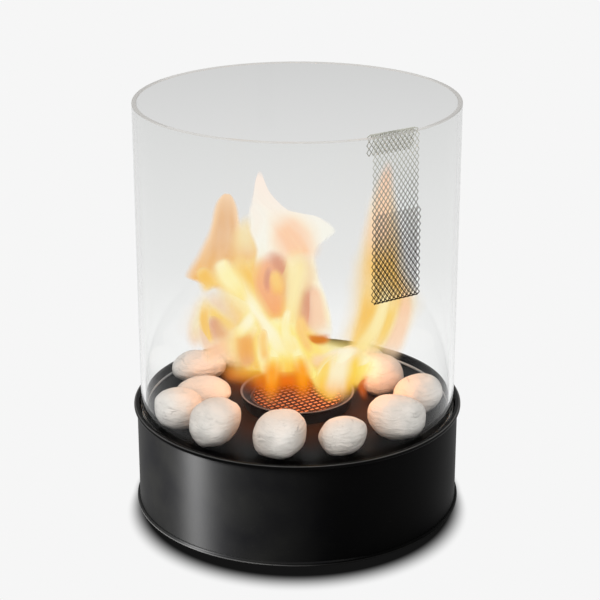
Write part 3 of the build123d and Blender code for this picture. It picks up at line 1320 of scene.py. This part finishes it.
@dataclass(frozen=True)
class PebbleShape:
    """Place and size of one pebble.

    Args:
        azimuth: Direction from the axis.
        distance: Distance from the axis.
        length: Longest size, level.
        width: Size across it, level.
        height: Upright size.
        turn: Turn of the length from +X, in degrees.
        square: How square its form is, from 2 for an egg upwards.
        lumps: Size of its lumps, as a share.
        taper: How much narrower its right end is, as a share.
        lean: How far its top stands to the right of its foot in the photograph's view, as a share of its height.
    """

    azimuth: float
    distance: float
    length: float
    width: float
    height: float
    turn: float
    square: float = 2.15
    lumps: float = 0.11
    taper: float = 0.12
    lean: float = 0.0


@dataclass
class Pebble(SubAssembly):
    """One loose pebble on the deck."""

    number: int
    shape: PebbleShape
    deck_top: float = 66.0
    rings: int = 44
    # Sizes of its smaller lumps and of its creases, and of what is cut off below its middle, as shares
    dents: float = 0.05
    creases: float = 0.011
    below: float = 0.42

    def build(self, chalk: bpy.types.Material) -> bpy.types.Object:
        """Builds the pebble from a ball that is squared, lumped, flattened below and put in place.

        Args:
            chalk: Finish of all the pebbles.

        Returns:
            The pebble.
        """
        shape = self.shape
        turn, azimuth = math.radians(shape.turn), math.radians(shape.azimuth)
        middle = Vector((shape.distance * math.sin(azimuth), -shape.distance * math.cos(azimuth)))
        seed = Vector((7.3 * self.number, 3.1 * self.number, 1.7 * self.number))
        vertices: list[Sequence[float]] = []
        rows = []
        for ring in range(self.rings + 1):
            tilt = math.pi * ring / self.rings
            first = len(vertices)
            count = 1 if ring in (0, self.rings) else self.rings * 2
            for step in range(count):
                spin = math.tau * step / count
                way = Vector((math.sin(tilt) * math.cos(spin), math.sin(tilt) * math.sin(spin), math.cos(tilt)))
                vertices.append(self.surface(way, seed, middle, turn))
            rows.append([first + step % count for step in range(self.rings * 2)])
        faces = []
        for upper, lower in zip(rows, rows[1:]):
            for step in range(self.rings * 2):
                after = (step + 1) % (self.rings * 2)
                faces.append(list(dict.fromkeys((upper[step], lower[step], lower[after], upper[after]))))
        node = f"pebble_{self.number:02d}"
        pebble = mesh_object(f"{node}_stone", vertices, faces)
        return self.mount(pebble, chalk, "white_pebble", (node,))

    def surface(self, way: Vector, seed: Vector, middle: Vector, turn: float) -> tuple[float, float, float]:
        """Finds the pebble's surface in a direction.

        Args:
            way: Direction from the pebble's middle.
            seed: Where its noise is read.
            middle: Level place of its middle.
            turn: Turn of its length.

        Returns:
            The point of the surface.
        """
        shape = self.shape
        power = shape.square
        reach = sum(abs(part) ** power for part in way) ** (-1 / power)
        big = noise.noise(way * 0.75 + seed)
        small = noise.noise(way * 1.7 + seed * 1.7)
        fine = noise.noise(Vector((way.x, way.y, way.z * 2.6)) * 5.0 + seed * 0.6)
        reach *= 1 + shape.lumps * big + self.dents * small + self.creases * fine
        along = way.x * reach * shape.length / 2
        across = way.y * reach * shape.width / 2 * (1 - shape.taper * way.x)
        up = max(0.0, way.z * reach * shape.height / 2 + self.below * shape.height)
        aside = PhotoView().right() * (shape.lean * (up - shape.height / 2))
        x = middle.x + along * math.cos(turn) - across * math.sin(turn) + aside.x
        y = middle.y + along * math.sin(turn) + across * math.cos(turn) + aside.y
        return (x, y, self.deck_top + up)


class Facing(Enum):
    """Which way a tongue of flame faces."""

    VIEW = "towards the photograph's view"
    SIDE = "edge-on to the photograph's view"


@dataclass
class Lick:
    """One curved tongue of flame.

    Args:
        name: Name of the piece.
        look: Kind of flame.
        depth: Distance behind the axis of its foot and tip, or for an edge-on one its place to the right.
        bow: How far its middle stands out towards the view.
        rungs: Pairs of points from its foot to its tip: (column, row) in the photograph for one that faces the
            view, or (depth, height) in millimetres for one that is edge-on to it.
        facing: Which way it faces.
    """

    name: str
    look: Look
    depth: Point
    bow: float
    rungs: Rungs
    facing: Facing = Facing.VIEW


def band(*line: Line) -> list[tuple[Point, Point]]:
    """Gives a line its width.

    Args:
        line: Each point's two places and the width there.

    Returns:
        The rungs, square to the line.
    """
    rungs = []
    for number, (column, row, width) in enumerate(line):
        before, after = line[max(number - 1, 0)], line[min(number + 1, len(line) - 1)]
        way = Vector((after[0] - before[0], after[1] - before[1])).normalized() * (width / 2)
        rungs.append(((column + way.y, row - way.x), (column - way.y, row + way.x)))
    return rungs


def spline(points: Sequence[Vector], share: float) -> Vector:
    """Finds a point on a smooth curve.

    Args:
        points: Points that the curve goes through.
        share: Share of the way along it.

    Returns:
        The point.
    """
    place = share * (len(points) - 1)
    number = min(int(place), len(points) - 2)
    t = place - number
    p0, p1, p2 = points[max(number - 1, 0)], points[number], points[number + 1]
    p3 = points[min(number + 2, len(points) - 1)]
    flat = p1 * 2 + (p2 - p0) * t
    return (flat + (p0 * 2 - p1 * 5 + p2 * 4 - p3) * t**2 + (p1 * 3 - p0 - p2 * 3 + p3) * t**3) * 0.5


def front(name: str, look: Look, depth: Point, bow: float, *line: Line) -> Lick:
    """Makes a tongue that faces the photograph's view, from a line of (column, row, width)."""
    return Lick(name, look, depth, bow, band(*line))


def side(name: str, look: Look, aside: float, *line: Line) -> Lick:
    """Makes a tongue that is edge-on to the photograph's view, from a line of (depth, height, width)."""
    rungs = [(second, first) for first, second in band(*line)]
    return Lick(f"side_{name}", look, (aside, aside), 0.0, rungs, Facing.SIDE)


# Rungs of the broad tongues, from foot to tip
MIDDLE_SAIL = (
    ((254, 346), (331, 344)), ((250, 322), (329, 322)), ((249, 300), (327, 302)), ((250, 282), (322, 284)),
    ((254, 266), (316, 268)), ((257, 252), (315, 254)), ((255, 241), (318, 245)), ((252, 230), (326, 238)),
    ((251, 219), (332, 229)), ((252, 208), (316, 216)), ((253, 198), (290, 211)), ((254, 188), (272, 195)),
    ((256, 178), (265, 182)), ((259, 170), (261, 170)),
)
LEFT_SAIL = (
    ((190, 280), (246, 304)), ((190, 274), (248, 286)), ((196, 262), (247, 270)), ((202, 250), (245, 256)),
    ((208, 237), (243, 243)), ((212, 224), (240, 230)), ((214, 212), (238, 218)), ((217, 202), (236, 206)),
    ((221, 196), (233, 198)), ((225, 193), (229, 193)),
)
RIGHT_SAIL = (
    ((350, 366), (388, 366)), ((344, 346), (394, 350)), ((350, 330), (400, 334)), ((355, 314), (407, 318)),
    ((357, 298), (411, 304)), ((358, 282), (410, 290)), ((361, 262), (402, 268)), ((365, 244), (398, 248)),
    ((369, 226), (396, 228)), ((373, 204), (395, 206)), ((377, 184), (392, 186)), ((382, 166), (389, 166)),
)
CORE = (
    ((256, 384), (318, 380)), ((250, 370), (324, 366)), ((250, 358), (324, 354)), ((256, 345), (314, 342)),
    ((262, 333), (303, 332)), ((268, 324), (295, 323)), ((274, 317), (289, 317)),
)
LOBE = (
    ((240, 374), (262, 372)), ((233, 358), (262, 356)), ((230, 344), (261, 344)), ((233, 332), (259, 332)),
    ((243, 322), (256, 322)),
)
HEART = (
    ((324, 404), (344, 404)), ((317, 389), (352, 389)), ((317, 372), (359, 370)), ((324, 357), (359, 354)),
    ((335, 347), (353, 345)),
)
BED = (
    ((254, 398), (318, 398)), ((250, 387), (324, 385)), ((252, 377), (322, 375)), ((258, 366), (318, 364)),
)
BODY = (
    ((246, 366), (326, 362)), ((232, 342), (314, 336)), ((228, 312), (304, 304)), ((230, 284), (296, 280)),
    ((240, 264), (286, 262)),
)
BODY_LOW = (
    ((254, 386), (328, 384)), ((246, 370), (332, 366)), ((248, 352), (324, 348)), ((257, 335), (306, 334)),
    ((265, 324), (298, 323)), ((272, 315), (291, 314)),
)
LEFT_HAZE = (
    ((204, 352), (250, 358)), ((194, 332), (246, 336)), ((197, 312), (242, 312)), ((203, 296), (234, 296)),
    ((208, 282), (224, 284)),
)

VIEW_LICKS = (
    Lick("left_sail", Look.TAN, (18, 24), 6, LEFT_SAIL),
    front("left_foot", Look.GOLD, (15, 17), 3, (214, 290, 18), (208, 280, 18), (202, 272, 12), (197, 268, 4)),
    front(
        "left_patch", Look.GOLD, (12, 16), 4, (254, 306, 28), (252, 286, 32), (251, 268, 32), (250, 250, 30),
        (249, 236, 26), (248, 224, 18), (247, 212, 6),
    ),
    Lick("left_haze", Look.HAZE, (12, 16), 5, LEFT_HAZE),
    front(
        "patch_haze", Look.MIST, (10, 14), 3, (247, 268, 14), (246, 252, 24), (245, 238, 24), (246, 226, 16),
        (247, 214, 6),
    ),
    front(
        "swirl_outer", Look.MIST, (9, 11), 3, (196, 352, 9), (194, 340, 11), (196, 327, 12), (200, 315, 12),
        (203, 303, 11), (206, 291, 7),
    ),
    front(
        "swirl_gold", Look.GOLD, (6, 8), 2, (216, 347, 5), (208, 334, 9), (204, 321, 10), (205, 309, 9), (207, 297, 5),
    ),
    front(
        "swirl_peach", Look.SAIL, (2, 4), 2, (202, 360, 10), (211, 354, 18), (221, 349, 20), (231, 343, 14),
        (239, 339, 6),
    ),
    front(
        "swirl_inner", Look.STRAW, (8, 10), 3, (242, 338, 8), (230, 326, 11), (217, 317, 12), (208, 307, 10),
        (203, 294, 5),
    ),
    front("swirl_low", Look.HAZE, (7, 9), 3, (214, 354, 8), (206, 342, 11), (203, 328, 11), (206, 314, 6)),
    front("swirl_shade", Look.MAUVE, (5, 7), 2, (228, 350, 10), (221, 336, 15), (215, 324, 12), (210, 314, 5)),
    Lick("body", Look.GOLD, (-8, -6), 4, BODY),
    Lick("middle_sail", Look.CREAM, (0, 4), 10, MIDDLE_SAIL),
    front(
        "middle_heart", Look.SAIL, (-12, -9), 3, (301, 268, 20), (300, 255, 30), (294, 242, 38), (286, 230, 32),
        (277, 219, 20), (268, 208, 6),
    ),
    front(
        "neck_shade", Look.MAUVE, (-13, -11), 3, (309, 334, 20), (308, 320, 21), (307, 305, 18), (307, 291, 14),
        (308, 279, 5),
    ),
    front(
        "neck_blush", Look.BLUSH, (-14, -12), 3, (320, 338, 18), (318, 322, 19), (317, 306, 16), (315, 292, 11),
        (313, 281, 4),
    ),
    front("neck_band", Look.DUSK, (-23, -23), 1, (303, 338, 6), (312, 339, 10), (322, 339, 10), (332, 337, 6)),
    front(
        "eye_gold", Look.GOLD, (-13, -11), 3, (258, 318, 20), (254, 300, 24), (252, 282, 24), (256, 266, 18),
        (262, 254, 8),
    ),
    front(
        "eye", Look.ROSE, (-15, -12), 4, (274, 324, 22), (271, 308, 32), (270, 292, 37), (271, 276, 34),
        (272, 262, 26), (270, 249, 10),
    ),
    front(
        "eye_shade", Look.MAUVE, (-18, -16), 2, (285, 312, 6), (288, 296, 9), (286, 281, 12), (281, 268, 14),
        (274, 257, 12), (268, 249, 5),
    ),
    front("eye_line", Look.MAUVE, (-19, -18), 2, (269, 294, 4), (267, 284, 6), (268, 274, 6), (271, 265, 4)),
    front("eye_lens", Look.LENS, (-20, -19), 2, (278, 298, 8), (278, 287, 12), (276, 277, 11), (274, 268, 5)),
    front(
        "neck_pale", Look.HAZE, (-14, -13), 3, (303, 296, 9), (305, 284, 15), (305, 272, 18), (301, 260, 16),
        (295, 250, 6),
    ),
    front(
        "stem", Look.SILK, (-20, -15), 4, (290, 352, 15), (289, 336, 16), (290, 320, 15), (292, 304, 15),
        (294, 290, 19), (296, 277, 25), (296, 265, 24), (293, 254, 14), (290, 247, 5),
    ),
    front("stem_gold", Look.LENS, (-22, -20), 2, (308, 354, 9), (303, 340, 12), (301, 326, 11), (302, 312, 5)),
    front(
        "hook_lining", Look.GOLD, (-15, -12), 3, (268, 320, 14), (259, 304, 18), (250, 290, 20), (244, 276, 18),
        (241, 263, 14), (241, 252, 5),
    ),
    front(
        "hook", Look.SILK, (-17, -14), 4, (264, 348, 14), (262, 331, 20), (256, 314, 22), (246, 299, 23),
        (236, 286, 23), (227, 275, 22), (222, 265, 18), (221, 254, 8),
    ),
    front(
        "hook_head", Look.PALE, (-19, -15), 2, (250, 304, 6), (242, 294, 11), (234, 284, 15), (227, 275, 16),
        (223, 266, 14), (221, 258, 7),
    ),
    Lick("body_low", Look.YELLOW, (-19, -17), 4, BODY_LOW),
    Lick("core", Look.YELLOW, (-20, -20), 6, CORE),
    front(
        "core_white", Look.WHITE, (-28, -24), 2, (299, 362, 6), (291, 355, 12), (282, 347, 16), (274, 338, 17),
        (267, 328, 14), (260, 317, 11), (254, 307, 10), (248, 297, 9), (242, 288, 5),
    ),
    front(
        "core_spot", Look.PALE, (-29, -28), 1, (296, 352, 8), (290, 342, 11), (286, 331, 10), (286, 320, 8),
        (289, 308, 4),
    ),
    front(
        "core_left", Look.PALE, (-28, -27), 1, (270, 386, 6), (272, 373, 10), (273, 360, 12), (276, 348, 10),
        (279, 338, 5),
    ),
    front(
        "core_right", Look.PALE, (-28, -27), 1, (304, 378, 5), (302, 367, 9), (299, 357, 12), (294, 346, 10),
        (291, 334, 5),
    ),
    front(
        "hook_white", Look.WHITE, (-25, -22), 2, (237, 339, 6), (242, 330, 10), (249, 321, 12), (255, 312, 11),
        (256, 302, 6),
    ),
    front("streak_stem", Look.LENS, (-29, -27), 2, (312, 354, 6), (306, 342, 8), (301, 329, 8), (299, 316, 4)),
    front("streak_lobe", Look.LENS, (-29, -27), 2, (266, 364, 6), (264, 351, 8), (263, 338, 8), (266, 325, 4)),
    front(
        "core_side", Look.PALE, (-28, -27), 1, (266, 375, 6), (264, 363, 10), (263, 351, 12), (264, 340, 12),
        (267, 330, 7),
    ),
    front("streak_hook", Look.LENS, (-26, -24), 2, (264, 334, 5), (262, 324, 7), (259, 314, 7), (255, 304, 4)),
    front("spur", Look.GOLD, (-26, -20), 2, (280, 358, 16), (266, 362, 12), (254, 366, 8), (243, 368, 4)),
    Lick("lobe", Look.LOOP, (-22, -20), 2, LOBE),
    front(
        "lobe_heart", Look.AMBER, (-26, -24), 1, (249, 368, 8), (247, 358, 15), (246, 348, 17), (246, 338, 14),
        (248, 329, 5),
    ),
    Lick("right_sail", Look.GOLD, (-6, 6), 8, RIGHT_SAIL),
    front(
        "right_amber", Look.GOLD, (-14, -8), 4, (352, 356, 12), (361, 338, 16), (367, 318, 18), (369, 296, 16),
        (372, 270, 9),
    ),
    front(
        "right_peach", Look.BLUSH, (-14, -6), 4, (384, 362, 16), (394, 344, 16), (401, 326, 14), (406, 306, 11),
        (405, 284, 6),
    ),
    front(
        "right_white", Look.SILK, (-18, -10), 3, (352, 362, 12), (364, 346, 15), (374, 330, 15), (381, 313, 13),
        (385, 296, 11), (387, 272, 6),
    ),
    front(
        "right_gold", Look.STRAW, (-19, -12), 3, (366, 360, 9), (379, 342, 10), (388, 323, 10), (393, 304, 9),
        (395, 284, 5),
    ),
    front(
        "tip_blush", Look.BLUSH, (-12, -8), 4, (378, 264, 26), (379, 240, 27), (381, 216, 23), (384, 192, 17),
        (387, 172, 10), (389, 158, 4),
    ),
    front(
        "sweep", Look.PALE, (-22, -14), 4, (296, 340, 18), (311, 348, 17), (328, 353, 20), (345, 357, 22),
        (360, 361, 16), (373, 364, 6),
    ),
    front("sweep_under", Look.BLUSH, (-25, -20), 2, (308, 358, 10), (322, 363, 14), (338, 365, 12), (350, 366, 6)),
    front("right_foot", Look.YELLOW, (-20, -12), 2, (353, 387, 8), (357, 375, 15), (363, 363, 17), (371, 354, 9)),
    front("flare", Look.GLOW, (-22, -16), 2, (366, 402, 4), (363, 392, 7), (361, 382, 9), (364, 371, 6)),
    front("heart_gold", Look.YELLOW, (-26, -24), 2, (338, 397, 14), (329, 389, 14), (321, 379, 13), (320, 366, 9)),
    front("heart_brow", Look.WHITE, (-29, -27), 1, (317, 379, 6), (325, 371, 10), (335, 363, 12), (347, 357, 6)),
    Lick("heart", Look.HEART, (-30, -24), 4, HEART),
    front(
        "heart_white", Look.WHITE, (-31, -26), 2, (333, 391, 7), (336, 380, 13), (341, 368, 16), (347, 356, 13),
        (353, 345, 5),
    ),
    front("front_spur", Look.YELLOW, (-27, -27), 2, (324, 389, 6), (317, 379, 9), (309, 369, 11), (298, 358, 11)),
    Lick("bed", Look.EMBER, (-25, -22), 2, BED),
    front(
        "root_left", Look.FIRE, (-29, -28), 2, (270, 406, 11), (271, 391, 13), (272, 376, 14), (273, 364, 13),
        (275, 353, 8),
    ),
    front(
        "root_right", Look.FIRE, (-29, -28), 2, (303, 404, 10), (303, 389, 12), (302, 375, 14), (300, 362, 12),
        (297, 352, 7),
    ),
    # The next sheet is no flame: a painted reflection of the fire's glow on the deck beside the burner.
    front("deck_glow", Look.GLOW, (-8, -10), 2, (218, 372, 8), (229, 373, 13), (242, 373, 15), (256, 371, 14)),
)
SIDE_LICKS = (
    side("haze", Look.HAZE, -60, (4, 92, 30), (0, 112, 40), (6, 132, 34), (12, 150, 16)),
    side("left", Look.TAN, -47, (2, 96, 38), (-4, 124, 48), (2, 152, 40), (8, 178, 26), (12, 202, 12), (13, 214, 4)),
    side("left_pale", Look.PALE, -40, (-2, 88, 22), (-8, 110, 22), (-2, 132, 18), (6, 150, 8)),
    side("patch", Look.GOLD, -30, (4, 90, 40), (10, 120, 42), (6, 150, 32), (0, 176, 14)),
    side("lobe", Look.AMBER, -28, (-8, 80, 26), (-12, 96, 30), (-8, 112, 18), (-4, 122, 6)),
    side(
        "middle", Look.CREAM, -14, (0, 84, 52), (4, 112, 58), (-4, 142, 50), (2, 172, 36), (10, 200, 18), (12, 226, 5),
    ),
    side("middle_heart", Look.SAIL, -12, (2, 112, 30), (-2, 142, 32), (4, 170, 20), (8, 192, 8)),
    side("core", Look.YELLOW, -6, (0, 76, 44), (-4, 98, 52), (2, 120, 40), (6, 140, 22), (8, 154, 6)),
    side("core_white", Look.WHITE, -4, (-2, 88, 22), (-4, 104, 26), (2, 120, 18), (5, 132, 8)),
    side("eye", Look.ROSE, 4, (0, 112, 34), (-6, 134, 38), (0, 156, 26), (6, 172, 8)),
    side("neck", Look.CREAM, 12, (-4, 90, 40), (2, 118, 46), (8, 146, 44), (2, 172, 30), (-2, 188, 10)),
    side("stem", Look.PALE, 14, (-2, 82, 20), (2, 104, 18), (6, 126, 16), (4, 144, 8)),
    side("heart", Look.WHITE, 26, (-8, 76, 26), (-10, 90, 32), (-6, 106, 24), (-2, 118, 8)),
    side("foot", Look.FIRE, 20, (0, 73, 40), (0, 84, 44), (-2, 96, 30), (-2, 106, 10)),
    side("root", Look.FIRE, -16, (2, 73, 36), (0, 84, 40), (-2, 96, 26), (0, 106, 8)),
    side("right", Look.GOLD, 44, (2, 84, 32), (-2, 110, 42), (6, 142, 40), (10, 172, 30), (6, 202, 20), (8, 230, 6)),
    side("right_white", Look.WHITE, 50, (0, 98, 16), (-4, 120, 18), (4, 144, 14), (8, 164, 6)),
    side("right_blush", Look.BLUSH, 62, (6, 110, 30), (10, 140, 34), (4, 170, 26), (8, 200, 12), (9, 216, 4)),
)


@dataclass
class Flame(SubAssembly):
    """Flame as curved translucent tongues, set against the photograph and crossed by others for the sides."""

    view: PhotoView = field(default_factory=PhotoView)
    across: int = 16
    along: int = 40

    def place(self, lick: Lick, spot: Vector, arch: float) -> Vector:
        """Finds the place of a tongue's point.

        Args:
            lick: The tongue.
            spot: Its two places on the rungs' plane, and its depth.
            arch: Share of the bow at the point.

        Returns:
            The point, in millimetres.
        """
        if lick.facing is Facing.SIDE:
            return self.view.beside(spot.z, spot.x, spot.y)
        return self.view.point(spot.x, spot.y, spot.z - lick.bow * arch)

    def tongue(self, lick: Lick) -> bpy.types.Object:
        """Builds one tongue as a bowed sheet between its two sides.

        Args:
            lick: The tongue.

        Returns:
            The sheet, with its UV maps: shares across and along it, and its real run.
        """
        last = len(lick.rungs) - 1
        # The sides fade out over their soft part, so the sheet is that much broader than its rungs
        spare = 0.25 * lick.look.value.soft / (1 - 0.5 * lick.look.value.soft)
        sides = [
            [
                Vector(
                    (
                        rung[edge][0] + (rung[edge][0] - rung[1 - edge][0]) * spare,
                        rung[edge][1] + (rung[edge][1] - rung[1 - edge][1]) * spare,
                        lick.depth[0] + (lick.depth[1] - lick.depth[0]) * number / last,
                    )
                )
                for number, rung in enumerate(lick.rungs)
            ]
            for edge in (0, 1)
        ]
        vertices: list[Vector] = []
        places, runs = [], []
        travelled, before = 0.05 * len(lick.name) + 0.011 * lick.rungs[0][0][0], None
        for step in range(self.along + 1):
            along = step / self.along
            start, end = spline(sides[0], along), spline(sides[1], along)
            middle = self.place(lick, (start + end) / 2, 1.0)
            travelled += (middle - before).length * MM if before else 0.0
            before = middle
            broad = (self.place(lick, end, 0.0) - self.place(lick, start, 0.0)).length * MM
            for part in range(self.across + 1):
                across = part / self.across
                arch = math.sin(math.pi * across) * math.sin(math.pi * min(1.0, along * 1.1)) ** 0.5
                vertices.append(self.place(lick, start.lerp(end, across), arch))
                places.append((across, along))
                runs.append((broad * (across - 0.5), travelled))
        row = self.across + 1
        faces = []
        for step in range(self.along):
            for part in range(self.across):
                first = step * row + part
                faces.append((first, first + 1, first + row + 1, first + row))
        sheet = mesh_object(f"flame_{lick.name}", vertices, faces)
        for name, spots in (("sheet", places), ("run", runs)):
            layer = sheet.data.uv_layers.new(name=name)
            for loop in sheet.data.loops:
                layer.data[loop.index].uv = spots[loop.vertex_index]
        return sheet

    def build(self) -> None:
        """Builds every tongue."""
        looks = {look: look.value.material(f"flame_{look.name.lower()}") for look in Look}
        for lick in VIEW_LICKS + SIDE_LICKS:
            sheet = self.mount(self.tongue(lick), looks[lick.look])
            sheet.visible_shadow = False
            sheet.visible_diffuse = False
            sheet.visible_glossy = False


class LampKind(Enum):
    """Kinds of lamp, by Blender's names."""

    AREA = "AREA"
    POINT = "POINT"


# Place, power and colour of each lamp in the flame
FIRE_LAMPS = (
    ((-0.004, -0.018, 0.112), 0.1, (1.0, 0.50, 0.20)),
    ((0.02, 0.01, 0.16), 0.08, (1.0, 0.55, 0.25)),
    ((0.016, -0.032, 0.1), 0.05, (1.0, 0.42, 0.12)),
)


@dataclass
class Studio:
    """Pale floor and backdrop, soft lamps, and the flame's own light.

    Args:
        view: The photograph's view.
        backdrop: Brightness of the floor and the backdrop.
        inside: Least brightness that the glass shows of them.
        soft: Brightness of the light from all round.
        through_glass: Brightness of the floor through the glass: in the middle, its loss for each metre from there,
            and its gain near the object.
        fades_between: Radii in metres between which that gain fades out.
        drum_radius: Radius of the drum's foot.
        shadow_front: How much further the painted contact shadow reaches in front, in metres.
        shadow_soft: Half the width of its edge, in metres.
        shadow_softer: What is added to that in front.
        darkest: Brightness in the shadow, as a share.
        reach: Half the floor's width.
        aim: Place that the lamps face, in metres.
    """

    view: PhotoView = field(default_factory=PhotoView)
    backdrop: float = 0.922
    inside: float = 0.6
    soft: float = 0.62
    through_glass: tuple[float, float, float] = (0.905, 0.2, 0.085)
    fades_between: Point = (0.27, 0.5)
    drum_radius: float = 109.4
    shadow_front: float = 0.019
    shadow_soft: float = 0.0045
    shadow_softer: float = 0.0069
    darkest: float = 0.008
    reach: float = 9000.0
    aim: tuple[float, float, float] = (0.0, 0.0, 0.09)

    def shadow(self, paint: Paint) -> Value:
        """Contact shadow round the drum on the floor, longer towards the front.

        Args:
            paint: Floor's material.

        Returns:
            1 in the open, 0 under the drum.
        """
        # The floor's contact shadow is painted, a mask round the drum, and not cast by the lamps.
        place = paint.place()
        front = -self.view.ahead()
        away = paint.radius()
        dot = paint.part(place, "X") * front.x + paint.part(place, "Y") * front.y
        facing = (dot / away.most(0.01)).most(0.0)
        middle = self.drum_radius * MM + facing**1.3 * self.shadow_front
        spread = self.shadow_soft + facing**0.9 * self.shadow_softer
        return away.rise(middle - spread, middle + spread).most(self.darkest)

    def floor(self) -> bpy.types.Object:
        """Makes the floor.

        Returns:
            The floor.
        """
        paint = Paint("floor")
        open_floor = self.shadow(paint)
        rays = paint.node("ShaderNodeLightPath")
        through = paint.out(rays, "Is Transmission Ray")
        # Rays through the glass see the floor darker, graded with distance from the axis: painted shade that greys the
        # inside of the tube.
        near = paint.radius().rise(*self.fades_between, 1.0, 0.0)
        middle, loss, gain = self.through_glass
        graded = (middle - paint.radius() * loss + near * gain).most(self.inside)
        level = through * (graded - self.backdrop) + self.backdrop
        bright = paint.node("ShaderNodeEmission", inputs={"Color": (1, 1, 1), "Strength": level * open_floor})
        lit = paint.node("ShaderNodeBsdfDiffuse", inputs={"Color": (0.8, 0.8, 0.8)})
        made = paint.done(paint.either(paint.seen(), paint.out(lit), paint.out(bright)))
        corners = [(x * self.reach, y * self.reach, 0.0) for x, y in ((-1, -1), (1, -1), (1, 1), (-1, 1))]
        floor = mesh_object("floor", corners, [(0, 1, 2, 3)])
        dress(floor, made)
        return floor

    def world(self) -> None:
        """Makes the backdrop and the soft light from all round."""
        world = bpy.data.worlds.new("world")
        bpy.context.scene.world = world
        paint = Paint("world", world)
        rays = paint.node("ShaderNodeLightPath")
        # Rays through the glass see the backdrop darker: painted shade that greys the inside of the tube.
        through = paint.out(rays, "Is Transmission Ray")
        backdrop = through * (self.inside - self.backdrop) + self.backdrop
        level = paint.seen() * (backdrop - self.soft) + self.soft
        sky = paint.node("ShaderNodeBackground", inputs={"Color": (1, 1, 1), "Strength": level})
        paint.done(paint.out(sky), "ShaderNodeOutputWorld")

    def lamp(
        self, name: str, kind: LampKind, place: Sequence[float], power: float, colour: Colour = (1, 1, 1), **sizes: Any
    ) -> bpy.types.Object:
        """Makes a lamp that faces the object.

        Args:
            name: Name of the lamp.
            kind: Kind of lamp.
            place: Where it stands, in metres.
            power: Power in watts.
            colour: Colour of its light.
            sizes: Properties of the lamp's data.

        Returns:
            The lamp.
        """
        data = bpy.data.lights.new(name, kind.value)
        data.energy, data.color = power, colour
        for key, size in sizes.items():
            setattr(data, key, size)
        lamp = bpy.data.objects.new(name, data)
        lamp.location = place
        lamp.rotation_euler = (Vector(self.aim) - Vector(place)).to_track_quat("-Z", "Y").to_euler()
        lamp.visible_camera = lamp.visible_transmission = False
        bpy.context.scene.collection.objects.link(lamp)
        return lamp

    def build(self, drum: Sequence[bpy.types.Object], stones: Sequence[bpy.types.Object]) -> None:
        """Builds the surroundings.

        Args:
            drum: Pieces that the strip lamp is for.
            stones: Pieces that the low soft lamp is for.
        """
        self.floor()
        self.world()
        key = self.lamp("key", LampKind.AREA, (-0.9, -0.9, 1.5), 16.0, shape="DISK", size=0.9)
        key.visible_glossy = False
        strip = self.lamp("strip", LampKind.AREA, (-0.63, 0.14, 0.3), 122.0, shape="RECTANGLE", size=0.12, size_y=0.5)
        low = self.lamp("low", LampKind.AREA, (-0.75, -1.0, 0.12), 2.2, shape="DISK", size=0.6)
        low.visible_glossy = False
        for lamp, pieces in ((strip, drum), (low, stones)):
            lit = bpy.data.collections.new(f"{lamp.name}_lit")
            for piece in pieces:
                lit.objects.link(piece)
            lamp.light_linking.receiver_collection = lit
        for number, (place, power, colour) in enumerate(FIRE_LAMPS):
            glow = self.lamp(f"fire_{number}", LampKind.POINT, place, power, colour, shadow_soft_size=0.026)
            glow.visible_glossy = False


PEBBLES = (
    PebbleShape(-156.0, 81.0, 38.0, 30.0, 21.0, -30.0, 2.1, 0.12, 0.22, 0.12),
    PebbleShape(-126.0, 64.0, 36.5, 28.0, 19.0, -40.0, 2.05, 0.1, -0.15, -0.1),
    PebbleShape(-101.5, 83.5, 32.5, 32.5, 26.5, -20.0, 2.1, 0.09, 0.1, -0.05),
    PebbleShape(-75.0, 79.0, 33.0, 33.0, 32.0, -10.0, 2.0, 0.1, 0.2, 0.2),
    PebbleShape(-42.0, 78.5, 33.0, 32.0, 31.0, -60.0, 2.2, 0.12, -0.2, 0.16),
    PebbleShape(-12.5, 80.0, 30.5, 24.0, 24.5, -16.0, 2.3, 0.08, 0.1, 0.08),
    PebbleShape(19.0, 81.0, 38.0, 30.0, 29.5, -22.0, 2.1, 0.1, 0.14, -0.16),
    PebbleShape(50.5, 81.0, 33.0, 34.0, 24.5, -34.0, 2.1, 0.12, 0.1, 0.2),
    PebbleShape(74.0, 60.5, 31.5, 30.0, 30.0, -34.0, 2.1, 0.1, 0.1, -0.08),
    PebbleShape(176.5, 73.0, 38.0, 28.0, 22.5, -34.0),
    PebbleShape(110.0, 76.0, 34.0, 27.0, 18.0, -20.0),
    PebbleShape(141.0, 68.0, 30.0, 25.0, 16.0, -50.0),
)


def main() -> None:
    """Loads the frame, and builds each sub-assembly in order."""
    logging.basicConfig(level=logging.INFO, format="%(name)s: %(message)s")
    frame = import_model()
    view = PhotoView()
    view.camera()
    drum = Drum(frame, "base").build()
    GlassTube(frame, "glass").build()
    Burner(frame, "burner").build()
    ScentBasket(frame, "basket").build()
    chalk = Chalk().material()
    stones = [
        Pebble(frame, f"pebble_{number:02d}", number, shape).build(chalk)
        for number, shape in enumerate(PEBBLES, start=1)
    ]
    Flame(frame, "burner", view).build()
    Studio(view).build(drum, stones)
    bpy.context.scene.view_settings.view_transform = "Standard"
    bpy.context.scene.cycles.transparent_max_bounces = 32


if __name__ == "__main__":
    main()
